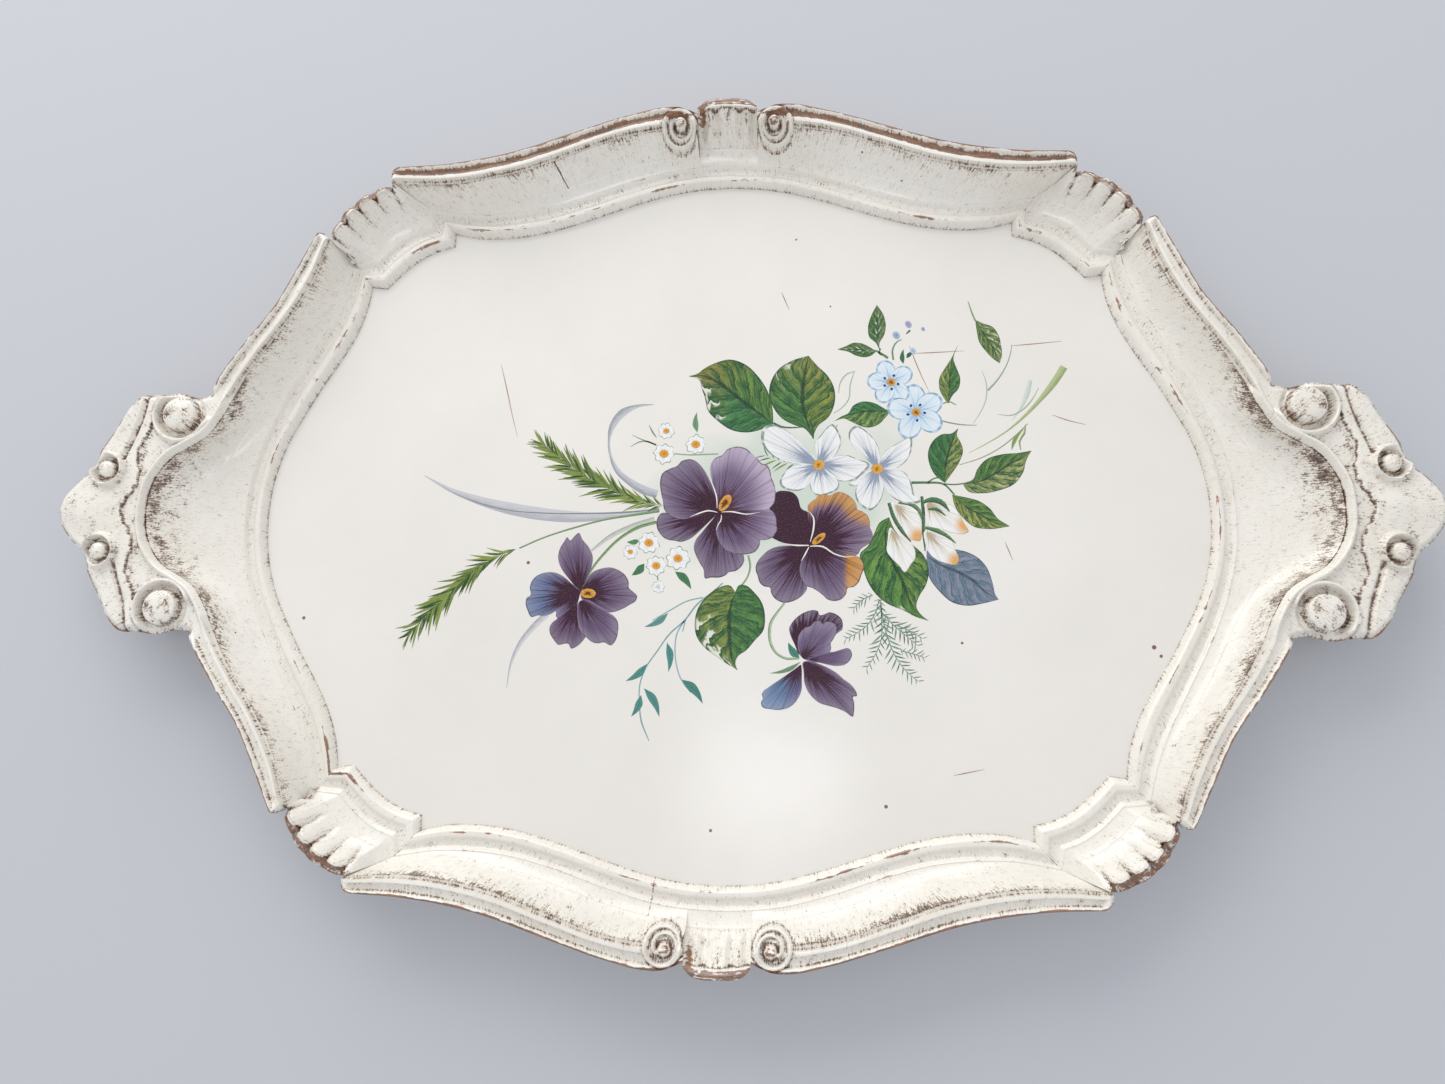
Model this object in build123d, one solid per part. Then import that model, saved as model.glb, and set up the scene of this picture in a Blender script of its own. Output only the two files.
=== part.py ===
from build123d import *
import os

os.makedirs("parts", exist_ok=True)

# Carved and painted wooden serving tray, millimetres. X is its length, Y its width, Z is up.
# The origin is the middle of the flat underside of the base board.

# Heights of the glued layers
BOARD_Z = 8.0  # top of the base board, which is the painted panel
REBATE = 1.0  # the rim lies in a rebate this deep, cut round the panel
COURSE_Z = 14.0  # glue plane between the bead course and the rim course
RAIL_Z = 23.5  # foot of the rail, where the sloped inner face of the rim ends
FILLET_Z = 25.5  # thin fillet along the inner side of the rail
LIP_Z = 25.0  # outer lip of the rail
EDGE_Z = 23.0  # outer edge of the rim
TUCK_Z = 19.0  # the outer face turns in under the edge from here

# The bead moulding around the panel, measured outward from its foot
BEAD_WIDTH = 9.0
BEAD_RIDGE = 3.0
BEAD_HEIGHT = 3.4
BEAD_FACE = 0.8
PANEL_PLAY = 0.2  # the raised panel stops this far inside the foot of the bead

# The underside: how far it lies inside the outer edge at each height
UNDER_TUCK = 1.0
UNDER_COURSE = 8.0
UNDER_BOARD = 11.0
UNDER_FLOOR = 15.0

# The sloped inner face is concave: its height at a share v of its width is a v + (1 - a) v v
SLOPE_START = 0.35
SLOPE_LOW = 0.367
SLOPE_MID = 0.70

# Plan of one quarter of the tray, from the middle of the long side to the end of the handle.
# Each zone has the foot of the bead, the outer edge of the rim, and the width of the rail at
# its two ends. The two notches are the short steps at each end of a corner.
ZONES = {
    "crest": (
        [(0, 134.3), (11.5, 133.8)],
        [(0, 162), (11.5, 160.5)],
        (14, 12),
    ),
    "long": (
        [(11.5, 133.8), (40, 126.9), (75, 116.2), (98, 114.5), (110.5, 116.8)],
        [(11.5, 158), (28, 158.2), (70, 146.5), (105, 138.6), (131, 136.5)],
        (7, 7),
    ),
    "notch_in": (
        [(110.5, 116.8), (110.5, 111.5)],
        [(131, 136.5), (134, 134)],
        (7, 4),
    ),
    "corner": (
        [(110.5, 111.5), (125.5, 105), (137.5, 93.8)],
        [(134, 134), (147.5, 125.5), (155.5, 113)],
        (4, 4),
    ),
    "notch_out": (
        [(137.5, 93.8), (143.5, 94.2)],
        [(155.5, 113), (159, 110)],
        (4, 6),
    ),
    "side": (
        [(143.5, 94.2), (148.5, 74), (159, 55.5), (167, 41.5)],
        [(159, 110), (169.5, 87), (186, 63), (198, 46)],
        (6, 6),
    ),
    "grip": (
        [(167, 41.5), (173, 28), (177.5, 14), (178.6, 0)],
        [(198, 46), (204, 30), (218, 15), (223.5, 0)],
        (6, 4.5),
    ),
}
ZONE_ORDER = ["crest", "long", "notch_in", "corner", "notch_out", "side", "grip"]
ZONE_SPANS = {"crest": 2, "long": 10, "notch_in": 1, "corner": 5, "notch_out": 1, "side": 6, "grip": 6}
CREST_LIFT = 2.5  # the crests in the middle of the long sides stand higher than the rails

# Joints between blocks, as a share of the way along a zone
LONG_JOINT = 0.47  # the upper left rail is made of two lengths
SIDE_JOINT = 0.72  # the handle blocks meet the side rails here
BEAD_JOINT = 0.12  # the lower bead is made of two lengths

# Scrolls at the ends of the long rails, beside the crests
SCROLL_AT = (18.8, 151.0)
SCROLL_RADIUS = 6.8
SCROLL_Z = 27.0
SCROLL_EYE_RADIUS = 3.2
SCROLL_EYE_Z = 28.5

# Handles
HANDLE_TIP = 254.0
HANDLE_UNDER_Z = 13.0
HANDLE_TOP_Z = 22.0
SCROLL_FOOT_Z = 16.0  # the scrolls are one piece with their blocks, and start inside them
SCROLL_BIG_AT = (208.5, 37.0)
SCROLL_BIG_RADIUS = 6.6
SCROLL_BIG_Z = 27.0
SCROLL_SMALL_AT = (235.5, 15.8)
SCROLL_SMALL_RADIUS = 6.2
SCROLL_SMALL_Z = 27.5
DOWEL_RADIUS = 1.25
DOWEL_LENGTH = 12.0
DOWEL_Z = 17.0
DOWEL_INSET = 7.0


def curve(points):
    """A straight line for two points and a spline for more."""
    return Line(*points) if len(points) == 2 else Spline(*points)


FOOT = {name: curve(zone[0]) for name, zone in ZONES.items()}
EDGE = {name: curve(zone[1]) for name, zone in ZONES.items()}


def station(zone, share):
    """Foot of the bead, outward direction in plan, distance to the outer edge, and rail width."""
    foot = FOOT[zone] @ share
    across = (EDGE[zone] @ share) - foot
    start, end = ZONES[zone][2]
    return foot, across.normalized(), across.length, start + (end - start) * share


def slope_height(step_z, share):
    """Height of the concave inner face at a share of its width."""
    return step_z + (RAIL_Z - step_z) * (SLOPE_START * share + (1 - SLOPE_START) * share**2)


def bead_section(zone, share, side):
    """Cross-section of the bead course as one closed wire."""
    foot, out, reach, rail = station(zone, share)
    slope = reach - rail - BEAD_WIDTH
    ridge_z = BOARD_Z + BEAD_HEIGHT
    profile = [
        (0, BOARD_Z - REBATE),
        (0, BOARD_Z),
        (BEAD_FACE, BOARD_Z + 0.75 * BEAD_HEIGHT),
        (BEAD_RIDGE, ridge_z),
        (BEAD_WIDTH, ridge_z),
        (BEAD_WIDTH + SLOPE_LOW * slope, COURSE_Z),
        (reach - UNDER_COURSE, COURSE_Z),
        (reach - UNDER_BOARD, BOARD_Z - REBATE),
    ]
    return section(foot, out, profile, side)


def rim_section(zone, share, side):
    """Cross-section of the rim course as one closed wire."""
    foot, out, reach, rail = station(zone, share)
    slope = reach - rail - BEAD_WIDTH
    ridge_z = BOARD_Z + BEAD_HEIGHT
    lift = CREST_LIFT if zone == "crest" else 0.0
    profile = [
        (BEAD_WIDTH + SLOPE_LOW * slope, COURSE_Z),
        (BEAD_WIDTH + SLOPE_MID * slope, slope_height(ridge_z, SLOPE_MID)),
        (reach - rail, RAIL_Z),
        (reach - 0.75 * rail, FILLET_Z + lift),
        (reach - 1.2, LIP_Z + lift),
        (reach, EDGE_Z + lift),
        (reach - UNDER_TUCK, TUCK_Z),
        (reach - UNDER_COURSE, COURSE_Z),
    ]
    return section(foot, out, profile, side)


def section(foot, out, profile, side):
    """Turns (distance, height) pairs into a closed wire on the quarter that side names."""
    across, along = side
    points = [
        (across * (foot.X + out.X * run), along * (foot.Y + out.Y * run), height)
        for run, height in profile
    ]
    return Wire.make_polygon(points, close=True)


def run_of(zones, side):
    """Stations through whole zones, in order, as (zone, share, side)."""
    stops = []
    for zone, start, end in zones:
        spans = max(1, round(ZONE_SPANS[zone] * abs(end - start)))
        stops += [(zone, start + (end - start) * k / spans, side) for k in range(spans + 1)]
    return stops


def block(shape, stops):
    """A block of a course, ruled from one cross-section to the next within each zone."""
    solids = []
    for near, far in zip(stops, stops[1:]):
        if near[0] == far[0] and near[1] != far[1]:
            solids.append(Solid.make_loft([shape(*near), shape(*far)], ruled=True))
    return solids[0].fuse(*solids[1:]).clean()


def boss(at, radius, bottom, top, side):
    """A round scroll standing on its block, with a rounded upper edge."""
    across, along = side
    drum = Pos(across * at[0], along * at[1], bottom) * Cylinder(
        radius, top - bottom, align=(Align.CENTER, Align.CENTER, Align.MIN)
    )
    return fillet(drum.edges().group_by(Axis.Z)[-1], 1.5)


def cornice_scroll(side):
    """The scroll that ends a long rail beside the crest."""
    body = boss(SCROLL_AT, SCROLL_RADIUS, COURSE_Z, SCROLL_Z, side)
    return body + boss(SCROLL_AT, SCROLL_EYE_RADIUS, COURSE_Z, SCROLL_EYE_Z, side)


QUARTERS = {
    "top_right": (1, 1),
    "top_left": (-1, 1),
    "bottom_right": (1, -1),
    "bottom_left": (-1, -1),
}


def through(zones, first, second):
    """Stations that run from the second quarter through the axis of symmetry to the first."""
    there = run_of(zones, first)
    back = [(zone, share, second) for zone, share, _ in reversed(there)]
    return back + there


def outline(height, inset=None):
    """One closed wire round the tray, this far inside the outer edge, or just inside the bead."""
    points = []
    for side, forward in (((1, 1), True), ((1, -1), False), ((-1, -1), True), ((-1, 1), False)):
        across, along = side
        stops = run_of([(zone, 0, 1) for zone in ZONE_ORDER], side)
        for zone, share, _ in stops if forward else reversed(stops):
            foot, out, reach, _ = station(zone, share)
            run = -PANEL_PLAY if inset is None else reach - inset
            point = Vector(across * (foot.X + out.X * run), along * (foot.Y + out.Y * run), height)
            if not points or (point - points[-1]).length > 0.5:
                points.append(point)
    return Wire.make_polygon(points, close=True)


def base_board():
    """The flat base board: a raised panel, a rebate round it, and an edge raked in below."""
    rebate_z = BOARD_Z - REBATE
    board = Solid.make_loft([outline(0.0, UNDER_FLOOR), outline(rebate_z, UNDER_BOARD)], ruled=True)
    panel = extrude(make_face(outline(rebate_z - 2.0)), REBATE + 2.0)
    return board + panel


def handle_plate(across):
    """The carved end of a handle, which starts under the curved ridge of its block."""
    outer = Spline((197, 45.5), (207, 46), (217, 46), (226, 45.5), (231, 39), (238, 27), (243, 16))
    tongue = Spline((243, 16), (251, 9), (HANDLE_TIP, 0))
    inner = Spline((197, 45.5), (202.5, 30), (216, 15), (221, 0))
    half = make_face(outer + tongue + Line((HANDLE_TIP, 0), (221, 0)) + inner)
    upper = Pos(0, 0, HANDLE_UNDER_Z) * extrude(half, HANDLE_TOP_Z - HANDLE_UNDER_Z)
    whole = upper + mirror(upper, Plane.XZ)
    return whole if across > 0 else mirror(whole, Plane.YZ)


def handle(across):
    """One handle block: the wide inner slope with its curved ridge, and the carved end."""
    stops = through([("side", SIDE_JOINT, 1), ("grip", 0, 1)], (across, 1), (across, -1))
    whole = block(rim_section, stops) + handle_plate(across)
    for along in (1, -1):
        side = (across, along)
        whole = whole + boss(SCROLL_BIG_AT, SCROLL_BIG_RADIUS, SCROLL_FOOT_Z, SCROLL_BIG_Z, side)
        whole = whole + boss(SCROLL_SMALL_AT, SCROLL_SMALL_RADIUS, SCROLL_FOOT_Z, SCROLL_SMALL_Z, side)
    return whole


def dowel(side):
    """A dowel across the joint between a handle block and a side rail."""
    foot, out, reach, _ = station("side", SIDE_JOINT)
    across, along = side
    run = reach - DOWEL_INSET
    at = (across * (foot.X + out.X * run), along * (foot.Y + out.Y * run), DOWEL_Z)
    axis = (-across * out.Y, along * out.X, 0)
    peg = Plane(origin=at, z_dir=axis) * Cylinder(DOWEL_RADIUS, DOWEL_LENGTH)
    return chamfer(peg.edges().filter_by(GeomType.CIRCLE), 0.5)


parts = {"base_board": base_board()}

# Bead course: one length along the top, one at each end, four corners, and two below
parts["bead_top"] = block(bead_section, through([("crest", 0, 1), ("long", 0, 1)], (1, 1), (-1, 1)))
for name, side in QUARTERS.items():
    corner = [("notch_in", 0, 1), ("corner", 0, 1), ("notch_out", 0, 1)]
    parts[f"bead_corner_{name}"] = block(bead_section, run_of(corner, side))
for name, across in (("left", -1), ("right", 1)):
    ends = through([("side", 0, 1), ("grip", 0, 1)], (across, 1), (across, -1))
    parts[f"bead_{name}"] = block(bead_section, ends)
parts["bead_bottom_left"] = block(bead_section, run_of([("long", BEAD_JOINT, 1)], (-1, -1)))
lower = run_of([("crest", 0, 1), ("long", 0, BEAD_JOINT)], (-1, -1))
lower = list(reversed(lower)) + run_of([("crest", 0, 1), ("long", 0, 1)], (1, -1))
parts["bead_bottom_right"] = block(bead_section, lower)

# Rim course: crests, long rails with their scrolls, shell corners, side rails and handles
for name, along in (("top", 1), ("bottom", -1)):
    parts[f"crest_{name}"] = block(rim_section, through([("crest", 0, 1)], (1, along), (-1, along)))
for name, side in QUARTERS.items():
    start = LONG_JOINT if name == "top_left" else 1
    rail = block(rim_section, run_of([("long", 0, start)], side))
    parts[f"rail_{name}_scroll" if name == "top_left" else f"rail_{name}"] = rail + cornice_scroll(side)
    corner = [("notch_in", 0, 1), ("corner", 0, 1), ("notch_out", 0, 1)]
    parts[f"shell_{name}"] = block(rim_section, run_of(corner, side))
    parts[f"side_rail_{name}"] = block(rim_section, run_of([("side", 0, SIDE_JOINT)], side))
parts["rail_top_left_outer"] = block(rim_section, run_of([("long", LONG_JOINT, 1)], (-1, 1)))
parts["handle_left"] = handle(-1)
parts["handle_right"] = handle(1)

# Dowels, with their bores in the handle blocks and the side rails
dowels = {name: dowel(side) for name, side in QUARTERS.items()}
for name, peg in dowels.items():
    for holder in (f"side_rail_{name}", "handle_left" if "left" in name else "handle_right"):
        parts[holder] = parts[holder] - peg
parts["handle_dowels"] = Compound(children=list(dowels.values()))

for name, shape in parts.items():
    export_step(shape, f"parts/{name}.step")
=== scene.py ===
import math

import bmesh
import bpy
import numpy as np
from mathutils import Matrix, Vector


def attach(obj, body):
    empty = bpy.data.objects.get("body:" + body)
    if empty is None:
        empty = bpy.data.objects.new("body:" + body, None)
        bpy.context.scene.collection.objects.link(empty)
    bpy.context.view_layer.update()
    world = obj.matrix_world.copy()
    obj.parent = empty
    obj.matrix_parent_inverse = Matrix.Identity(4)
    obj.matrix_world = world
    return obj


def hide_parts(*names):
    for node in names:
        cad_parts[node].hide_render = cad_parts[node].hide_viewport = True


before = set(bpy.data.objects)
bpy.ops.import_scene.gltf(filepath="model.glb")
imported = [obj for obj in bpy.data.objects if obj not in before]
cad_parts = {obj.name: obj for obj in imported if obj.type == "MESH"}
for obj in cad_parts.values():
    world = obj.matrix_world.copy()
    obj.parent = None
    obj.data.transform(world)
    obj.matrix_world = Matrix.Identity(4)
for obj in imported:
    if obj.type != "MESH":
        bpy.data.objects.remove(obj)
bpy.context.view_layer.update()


# ---------------------------------------------------------------------------------------------
# Base board: one flat wooden board, planed, with its edge raked in below. Its upper face inside
# the moulding is the panel that carries the painting. The rim is glued down on its margin.
# ---------------------------------------------------------------------------------------------

MM = 0.001
BOARD_TOP = 8.0
REBATE = 1.0  # how deep the margin under the beads is cut, in mm
BOARD_INSET = (11.0, 15.0)  # how far its upper and lower edges lie inside the rim, in mm

# Plan of one quarter of the tray in mm, from the middle of the long side round to the handle.
# foot and step are the two sides of the bead, rail is the top of the hollow slope and edge is
# the outside of the rim.
PLAN = {
    "crest": {
        "foot": [(0, 134.3), (11.5, 133.7)],
        "step": [(0, 142.6), (11.5, 142.1)],
        "rail": [(0, 158.6), (11.5, 157.6)],
        "edge": [(0, 162.6), (5, 162.5), (8.5, 161.6), (11.5, 158.8)],
    },
    "long": {
        "foot": [(11.5, 133.7), (22, 132), (40, 127), (58, 121), (75, 116.3), (90, 114.5), (100, 114.7),
                 (110.5, 116.8)],
        "step": [(11.5, 142.1), (22, 140.7), (40, 136), (58, 130), (75, 125.5), (90, 123.8), (103, 123.8),
                 (119.3, 126.2)],
        "rail": [(11.5, 150), (26, 151.3), (40, 149.2), (60, 142.7), (80, 135.8), (100, 131.8), (118, 131),
                 (133, 132)],
        "edge": [(11.5, 157), (18, 159.8), (27, 159.8), (36, 157.8), (57, 151.4), (85, 142.6), (108, 138.6),
                 (132.3, 137.2)],
    },
    "notch_in": {
        "foot": [(110.5, 116.8), (110.5, 111.5)],
        "step": [(119.3, 126.2), (120.5, 119.3)],
        "rail": [(131.6, 131.4), (133, 128.6)],
        "edge": [(133, 132), (136, 131.8)],
    },
    "corner": {
        "foot": [(110.5, 111.5), (118, 109.3), (126, 104.8), (132, 99.5), (137.5, 93.8)],
        "step": [(120.5, 119.3), (128, 116), (135, 110.8), (141, 104.6)],
        "rail": [(133, 128.6), (141, 125), (148, 119), (153.5, 111.5)],
        "edge": [(136, 131.8), (144.5, 128), (151.5, 122), (157, 112.5)],
    },
    "notch_out": {
        "foot": [(137.5, 93.8), (143.5, 94.6)],
        "step": [(141, 104.6), (150.3, 103.6)],
        "rail": [(153.5, 111.5), (154.8, 107.5)],
        "edge": [(157, 112.5), (156.2, 108.6)],
    },
    "side": {
        "foot": [(143.5, 94.6), (145, 85), (149, 73.5), (155, 62.5), (161.5, 52), (167.5, 41)],
        "step": [(150.3, 103.6), (153, 93), (157, 82), (161.8, 72), (167, 62), (172.3, 52)],
        "rail": [(156, 108.5), (160.5, 93.5), (169, 77), (179.3, 62), (188.5, 46), (191.5, 38.5)],
        "edge": [(159.5, 112), (167.3, 96), (175, 80.5), (186.5, 64.5), (198.5, 46)],
    },
    "grip": {
        "foot": [(167.5, 41), (172.5, 31), (176.2, 20), (178.2, 9), (178.7, 0)],
        "step": [(172.3, 52), (177, 42), (181, 32), (184.3, 21), (186.2, 10), (186.7, 0)],
        "rail": [(191.5, 38.5), (197.5, 29), (204, 24.6), (210.5, 20.8), (216, 14), (218.6, 7), (219.2, 0)],
        "edge": [(198.5, 46), (203.5, 45), (212, 46.8), (219.5, 45.8), (225.5, 45.6), (230, 41), (235, 32),
                 (240.5, 22.5), (243.4, 15.8), (248, 12), (252.8, 5.5), (254, 0)],
    },
}


def smooth_line(points):
    """A smooth curve through a few points, as a function of the share of its length."""
    knots = np.array(points, float)
    chord = np.concatenate([[0], np.cumsum(np.hypot(*np.diff(knots, axis=0).T))])
    slope = np.gradient(knots, chord, axis=0)
    dense, where = [], []
    for k in range(len(knots) - 1):
        t = np.linspace(0, 1, 25)[:, None]
        span = chord[k + 1] - chord[k]
        dense.append(
            (2 * t**3 - 3 * t**2 + 1) * knots[k] + (t**3 - 2 * t**2 + t) * span * slope[k]
            + (3 * t**2 - 2 * t**3) * knots[k + 1] + (t**3 - t**2) * span * slope[k + 1]
        )
    dense = np.concatenate(dense)
    where = np.concatenate([[0], np.cumsum(np.hypot(*np.diff(dense, axis=0).T))])
    return lambda share: np.stack([np.interp(np.asarray(share) * where[-1], where, dense[:, k])
                                   for k in (0, 1)], -1)


LINES = {zone: {name: smooth_line(points) for name, points in plan.items()} for zone, plan in PLAN.items()}


def stretch(zone, start, end, across, along, spacing):
    """Rows of plan points along part of a zone, with the quarter that they are mirrored to."""
    line = LINES[zone]["edge"](np.linspace(0, 1, 60))
    length = np.hypot(*np.diff(line, axis=0).T).sum() * abs(end - start)
    share = np.linspace(start, end, max(3, round(length / spacing) + 1))
    rows = {name: LINES[zone][name](share) for name in ("foot", "step", "rail", "edge")}
    rows["share"] = share
    rows["zone"] = np.full(len(share), zone)
    rows["mirror"] = np.tile([across, along], (len(share), 1)).astype(float)
    return rows


def joined(stretches):
    """Several stretches as one, with a row that two of them share kept once."""
    out = stretches[0]
    for more in stretches[1:]:
        same = all(np.allclose(out[k][-1] * out["mirror"][-1], more[k][0] * more["mirror"][0], atol=1e-6)
                   for k in ("foot", "step", "rail", "edge"))
        out = {k: np.concatenate([out[k], more[k][1 if same else 0:]]) for k in out}
    return out


def mirrored_run(zones, near, far, spacing):
    """A run through the axis of symmetry: the zones in the far quarter, back to front, then the near one."""
    parts = [stretch(zone, end, start, *far, spacing) for zone, start, end in reversed(zones)]
    return joined(parts + [stretch(zone, start, end, *near, spacing) for zone, start, end in zones])


def add_object(name, data):
    """A new object in the scene."""
    made = bpy.data.objects.new(name, data)
    bpy.context.scene.collection.objects.link(made)
    return made


def face_outward(mesh):
    """Turns every face of a closed mesh outward."""
    work = bmesh.new()
    work.from_mesh(mesh)
    bmesh.ops.recalc_face_normals(work, faces=work.faces)
    work.to_mesh(mesh)
    work.free()


def solid_mesh(name, rows, values=None, uv=None):
    """A closed mesh from rows of points in mm, each row a closed loop, with its two ends capped."""
    count, around, _ = rows.shape
    index = np.arange(count * around).reshape(count, around)
    after = np.roll(index, -1, axis=1)
    quads = np.stack([index[:-1], after[:-1], after[1:], index[1:]], -1).reshape(-1, 4)
    mesh = bpy.data.meshes.new(name)
    faces = quads.tolist() + [index[0][::-1].tolist(), index[-1].tolist()]
    mesh.from_pydata((rows.reshape(-1, 3) * MM).tolist(), [], faces)
    mesh.polygons.foreach_set("use_smooth", np.ones(len(mesh.polygons), bool))
    for key, value in (values or {}).items():
        layer = mesh.attributes.new(key, "FLOAT", "POINT")
        layer.data.foreach_set("value", value.astype(np.float32).ravel())
    if uv is not None:
        corner = np.zeros(len(mesh.loops), np.int32)
        mesh.loops.foreach_get("vertex_index", corner)
        layer = mesh.uv_layers.new(name="carving")
        layer.data.foreach_set("uv", (uv.reshape(-1, 2)[corner]).astype(np.float32).ravel())
    face_outward(mesh)
    mesh.set_sharp_from_angle(angle=math.radians(55))
    return add_object(name, mesh)


def unit(vectors):
    """Vectors cut to a length of one."""
    return vectors / np.maximum(np.linalg.norm(vectors, axis=-1, keepdims=True), 1e-9)


def outer_line(run):
    """The outer edge of the rim, which at a handle is the curved ridge and not the carved end."""
    ridge = run["rail"] + 3.0 * unit(run["rail"] - run["foot"])
    return np.where((run["zone"] == "grip")[:, None], ridge, run["edge"])


def make_board():
    """The board: its raised panel, the rebate round it under the beads, and the raked edge."""
    turn = []
    for across, along, forward in ((1, 1, True), (1, -1, False), (-1, -1, True), (-1, 1, False)):
        quarter = joined([stretch(zone, 0, 1, across, along, 2.0) for zone in PLAN])
        foot, reach = quarter["foot"], outer_line(quarter)
        lines = (np.stack([foot] + [reach - inset * unit(reach - foot) for inset in BOARD_INSET])
                 * quarter["mirror"])
        turn.append(lines if forward else lines[:, ::-1])
    lines = np.concatenate(turn, 1)
    gaps = np.linalg.norm(lines - np.roll(lines, 1, axis=1), axis=2)
    foot, upper, lower = lines[:, (gaps[:2] > 0.3).all(0)]
    levels = ((foot, BOARD_TOP), (foot, BOARD_TOP - REBATE), (upper, BOARD_TOP - REBATE), (lower, 0))
    rings = [np.column_stack([line, np.full(len(line), height)]) for line, height in levels]
    return solid_mesh("base_board_panel", np.array(rings))


board = make_board()


def linear(colour):
    """An sRGB hex colour as linear RGBA."""
    channels = [int(colour[k:k + 2], 16) / 255 for k in (1, 3, 5)]
    return [c / 12.92 if c <= 0.04045 else ((c + 0.055) / 1.055) ** 2.4 for c in channels] + [1.0]


def add_node(material, kind, links=(), **settings):
    """Adds one node. links are (input, output socket); settings are properties, or inputs by name."""
    node = material.node_tree.nodes.new(kind)
    for key, value in settings.items():
        if hasattr(node, key):
            setattr(node, key, value)
        else:
            node.inputs[key.replace("_", " ")].default_value = value
    for name, source in links:
        material.node_tree.links.new(source, node.inputs[name])
    return node


def new_material(name):
    """An empty node material and its output node."""
    material = bpy.data.materials.new(name)
    material.use_nodes = True
    material.node_tree.nodes.clear()
    return material, add_node(material, "ShaderNodeOutputMaterial")


def stops(node, colours):
    """Sets a colour ramp from (position, hex colour) pairs."""
    ramp = node.color_ramp
    while len(ramp.elements) < len(colours):
        ramp.elements.new(0.5)
    for element, (place, colour) in zip(ramp.elements, colours):
        element.position = place
        element.color = linear(colour)


def panel_enamel():
    """Cream oil enamel brushed flat on the board, a little yellowed and fly-spotted, under a thick
    gloss varnish: an even warm white, soft clouds of tone, tiny brown dots, and a wet shine that
    wavers where the varnish was brushed."""
    material, out = new_material("cream_enamel_gloss_varnish")
    place = add_node(material, "ShaderNodeTexCoord").outputs["Object"]
    cloud = add_node(material, "ShaderNodeTexNoise", [("Vector", place)], Scale=14.0, Detail=4.0,
                     Roughness=0.6)
    tone = add_node(material, "ShaderNodeValToRGB", [("Fac", cloud.outputs["Fac"])])
    stops(tone, [(0.3, "#E8E4DD"), (0.7, "#EFEBE5")])
    dots = add_node(material, "ShaderNodeTexVoronoi", [("Vector", place)], Scale=95.0, Randomness=1.0)
    size = add_node(material, "ShaderNodeTexNoise", [("Vector", place)], Scale=60.0, Detail=1.0)
    radius = add_node(material, "ShaderNodeMapRange", [("Value", size.outputs["Fac"])],
                      From_Min=0.52, From_Max=0.8, To_Min=0.0, To_Max=0.1)
    near = add_node(material, "ShaderNodeMath",
                    [(0, dots.outputs["Distance"]), (1, radius.outputs["Result"])], operation="LESS_THAN")
    dotted = add_node(material, "ShaderNodeMix",
                      [("Factor", near.outputs[0]), ("A", tone.outputs["Color"])],
                      data_type="RGBA", B=linear("#7A5A44"))
    wash = add_node(material, "ShaderNodeAttribute", attribute_name="wash")
    patchy = add_node(material, "ShaderNodeMath", [(0, wash.outputs["Fac"]), (1, size.outputs["Fac"])],
                      operation="MULTIPLY")
    veil = add_node(material, "ShaderNodeMapRange", [("Value", patchy.outputs[0])],
                    From_Min=0.12, From_Max=0.36, To_Max=0.85)
    washed = add_node(material, "ShaderNodeMix",
                      [("Factor", veil.outputs["Result"]), ("A", dotted.outputs["Result"])],
                      data_type="RGBA", B=linear("#C9D6C9"))
    wave = add_node(material, "ShaderNodeTexNoise", [("Vector", place)], Scale=45.0, Detail=6.0,
                    Roughness=0.62)
    bump = add_node(material, "ShaderNodeBump", [("Height", wave.outputs["Fac"])], Strength=0.09,
                    Distance=0.002)
    skin = add_node(material, "ShaderNodeBsdfPrincipled",
                    [("Base Color", washed.outputs["Result"]), ("Normal", bump.outputs["Normal"])],
                    Roughness=0.5, Coat_Weight=0.8, Coat_Roughness=0.17)
    material.node_tree.links.new(skin.outputs["BSDF"], out.inputs["Surface"])
    return material


board.data.materials.append(panel_enamel())
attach(board, "root")
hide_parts("base_board")


# ---------------------------------------------------------------------------------------------
# Printed bouquet: a transfer of pansies, small white flowers, leaves and grasses, laid on the
# enamel before it was varnished. Each petal, leaf and stem is its own thin film of ink, and a
# later one covers an earlier one.
# ---------------------------------------------------------------------------------------------

INK_STEP = 0.003  # how much higher each later film lies, in mm
INK_ROOT = 0.04  # how far a film reaches down into the enamel, in mm
INK_TOP = BOARD_TOP + 0.01  # height of the lowest film


def rounded(points, spacing=0.5):
    """A smooth closed outline through a few points."""
    knots = np.array(points, float)
    out = []
    for k in range(len(knots)):
        before, here, there, beyond = (knots[(k + j) % len(knots)] for j in (-1, 0, 1, 2))
        pairs = ((before, here), (here, there), (there, beyond))
        a, b, c = (math.sqrt(max(np.linalg.norm(q - p), 1e-6)) for p, q in pairs)
        leave = b * ((here - before) / a - (there - before) / (a + b) + (there - here) / b)
        arrive = b * ((there - here) / b - (beyond - here) / (b + c) + (beyond - there) / c)
        t = np.linspace(0, 1, max(2, round(b * b / spacing)), endpoint=False)[:, None]
        out.append((2 * t**3 - 3 * t**2 + 1) * here + (t**3 - 2 * t**2 + t) * leave
                   + (3 * t**2 - 2 * t**3) * there + (t**3 - t**2) * arrive)
    return np.concatenate(out)


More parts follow.
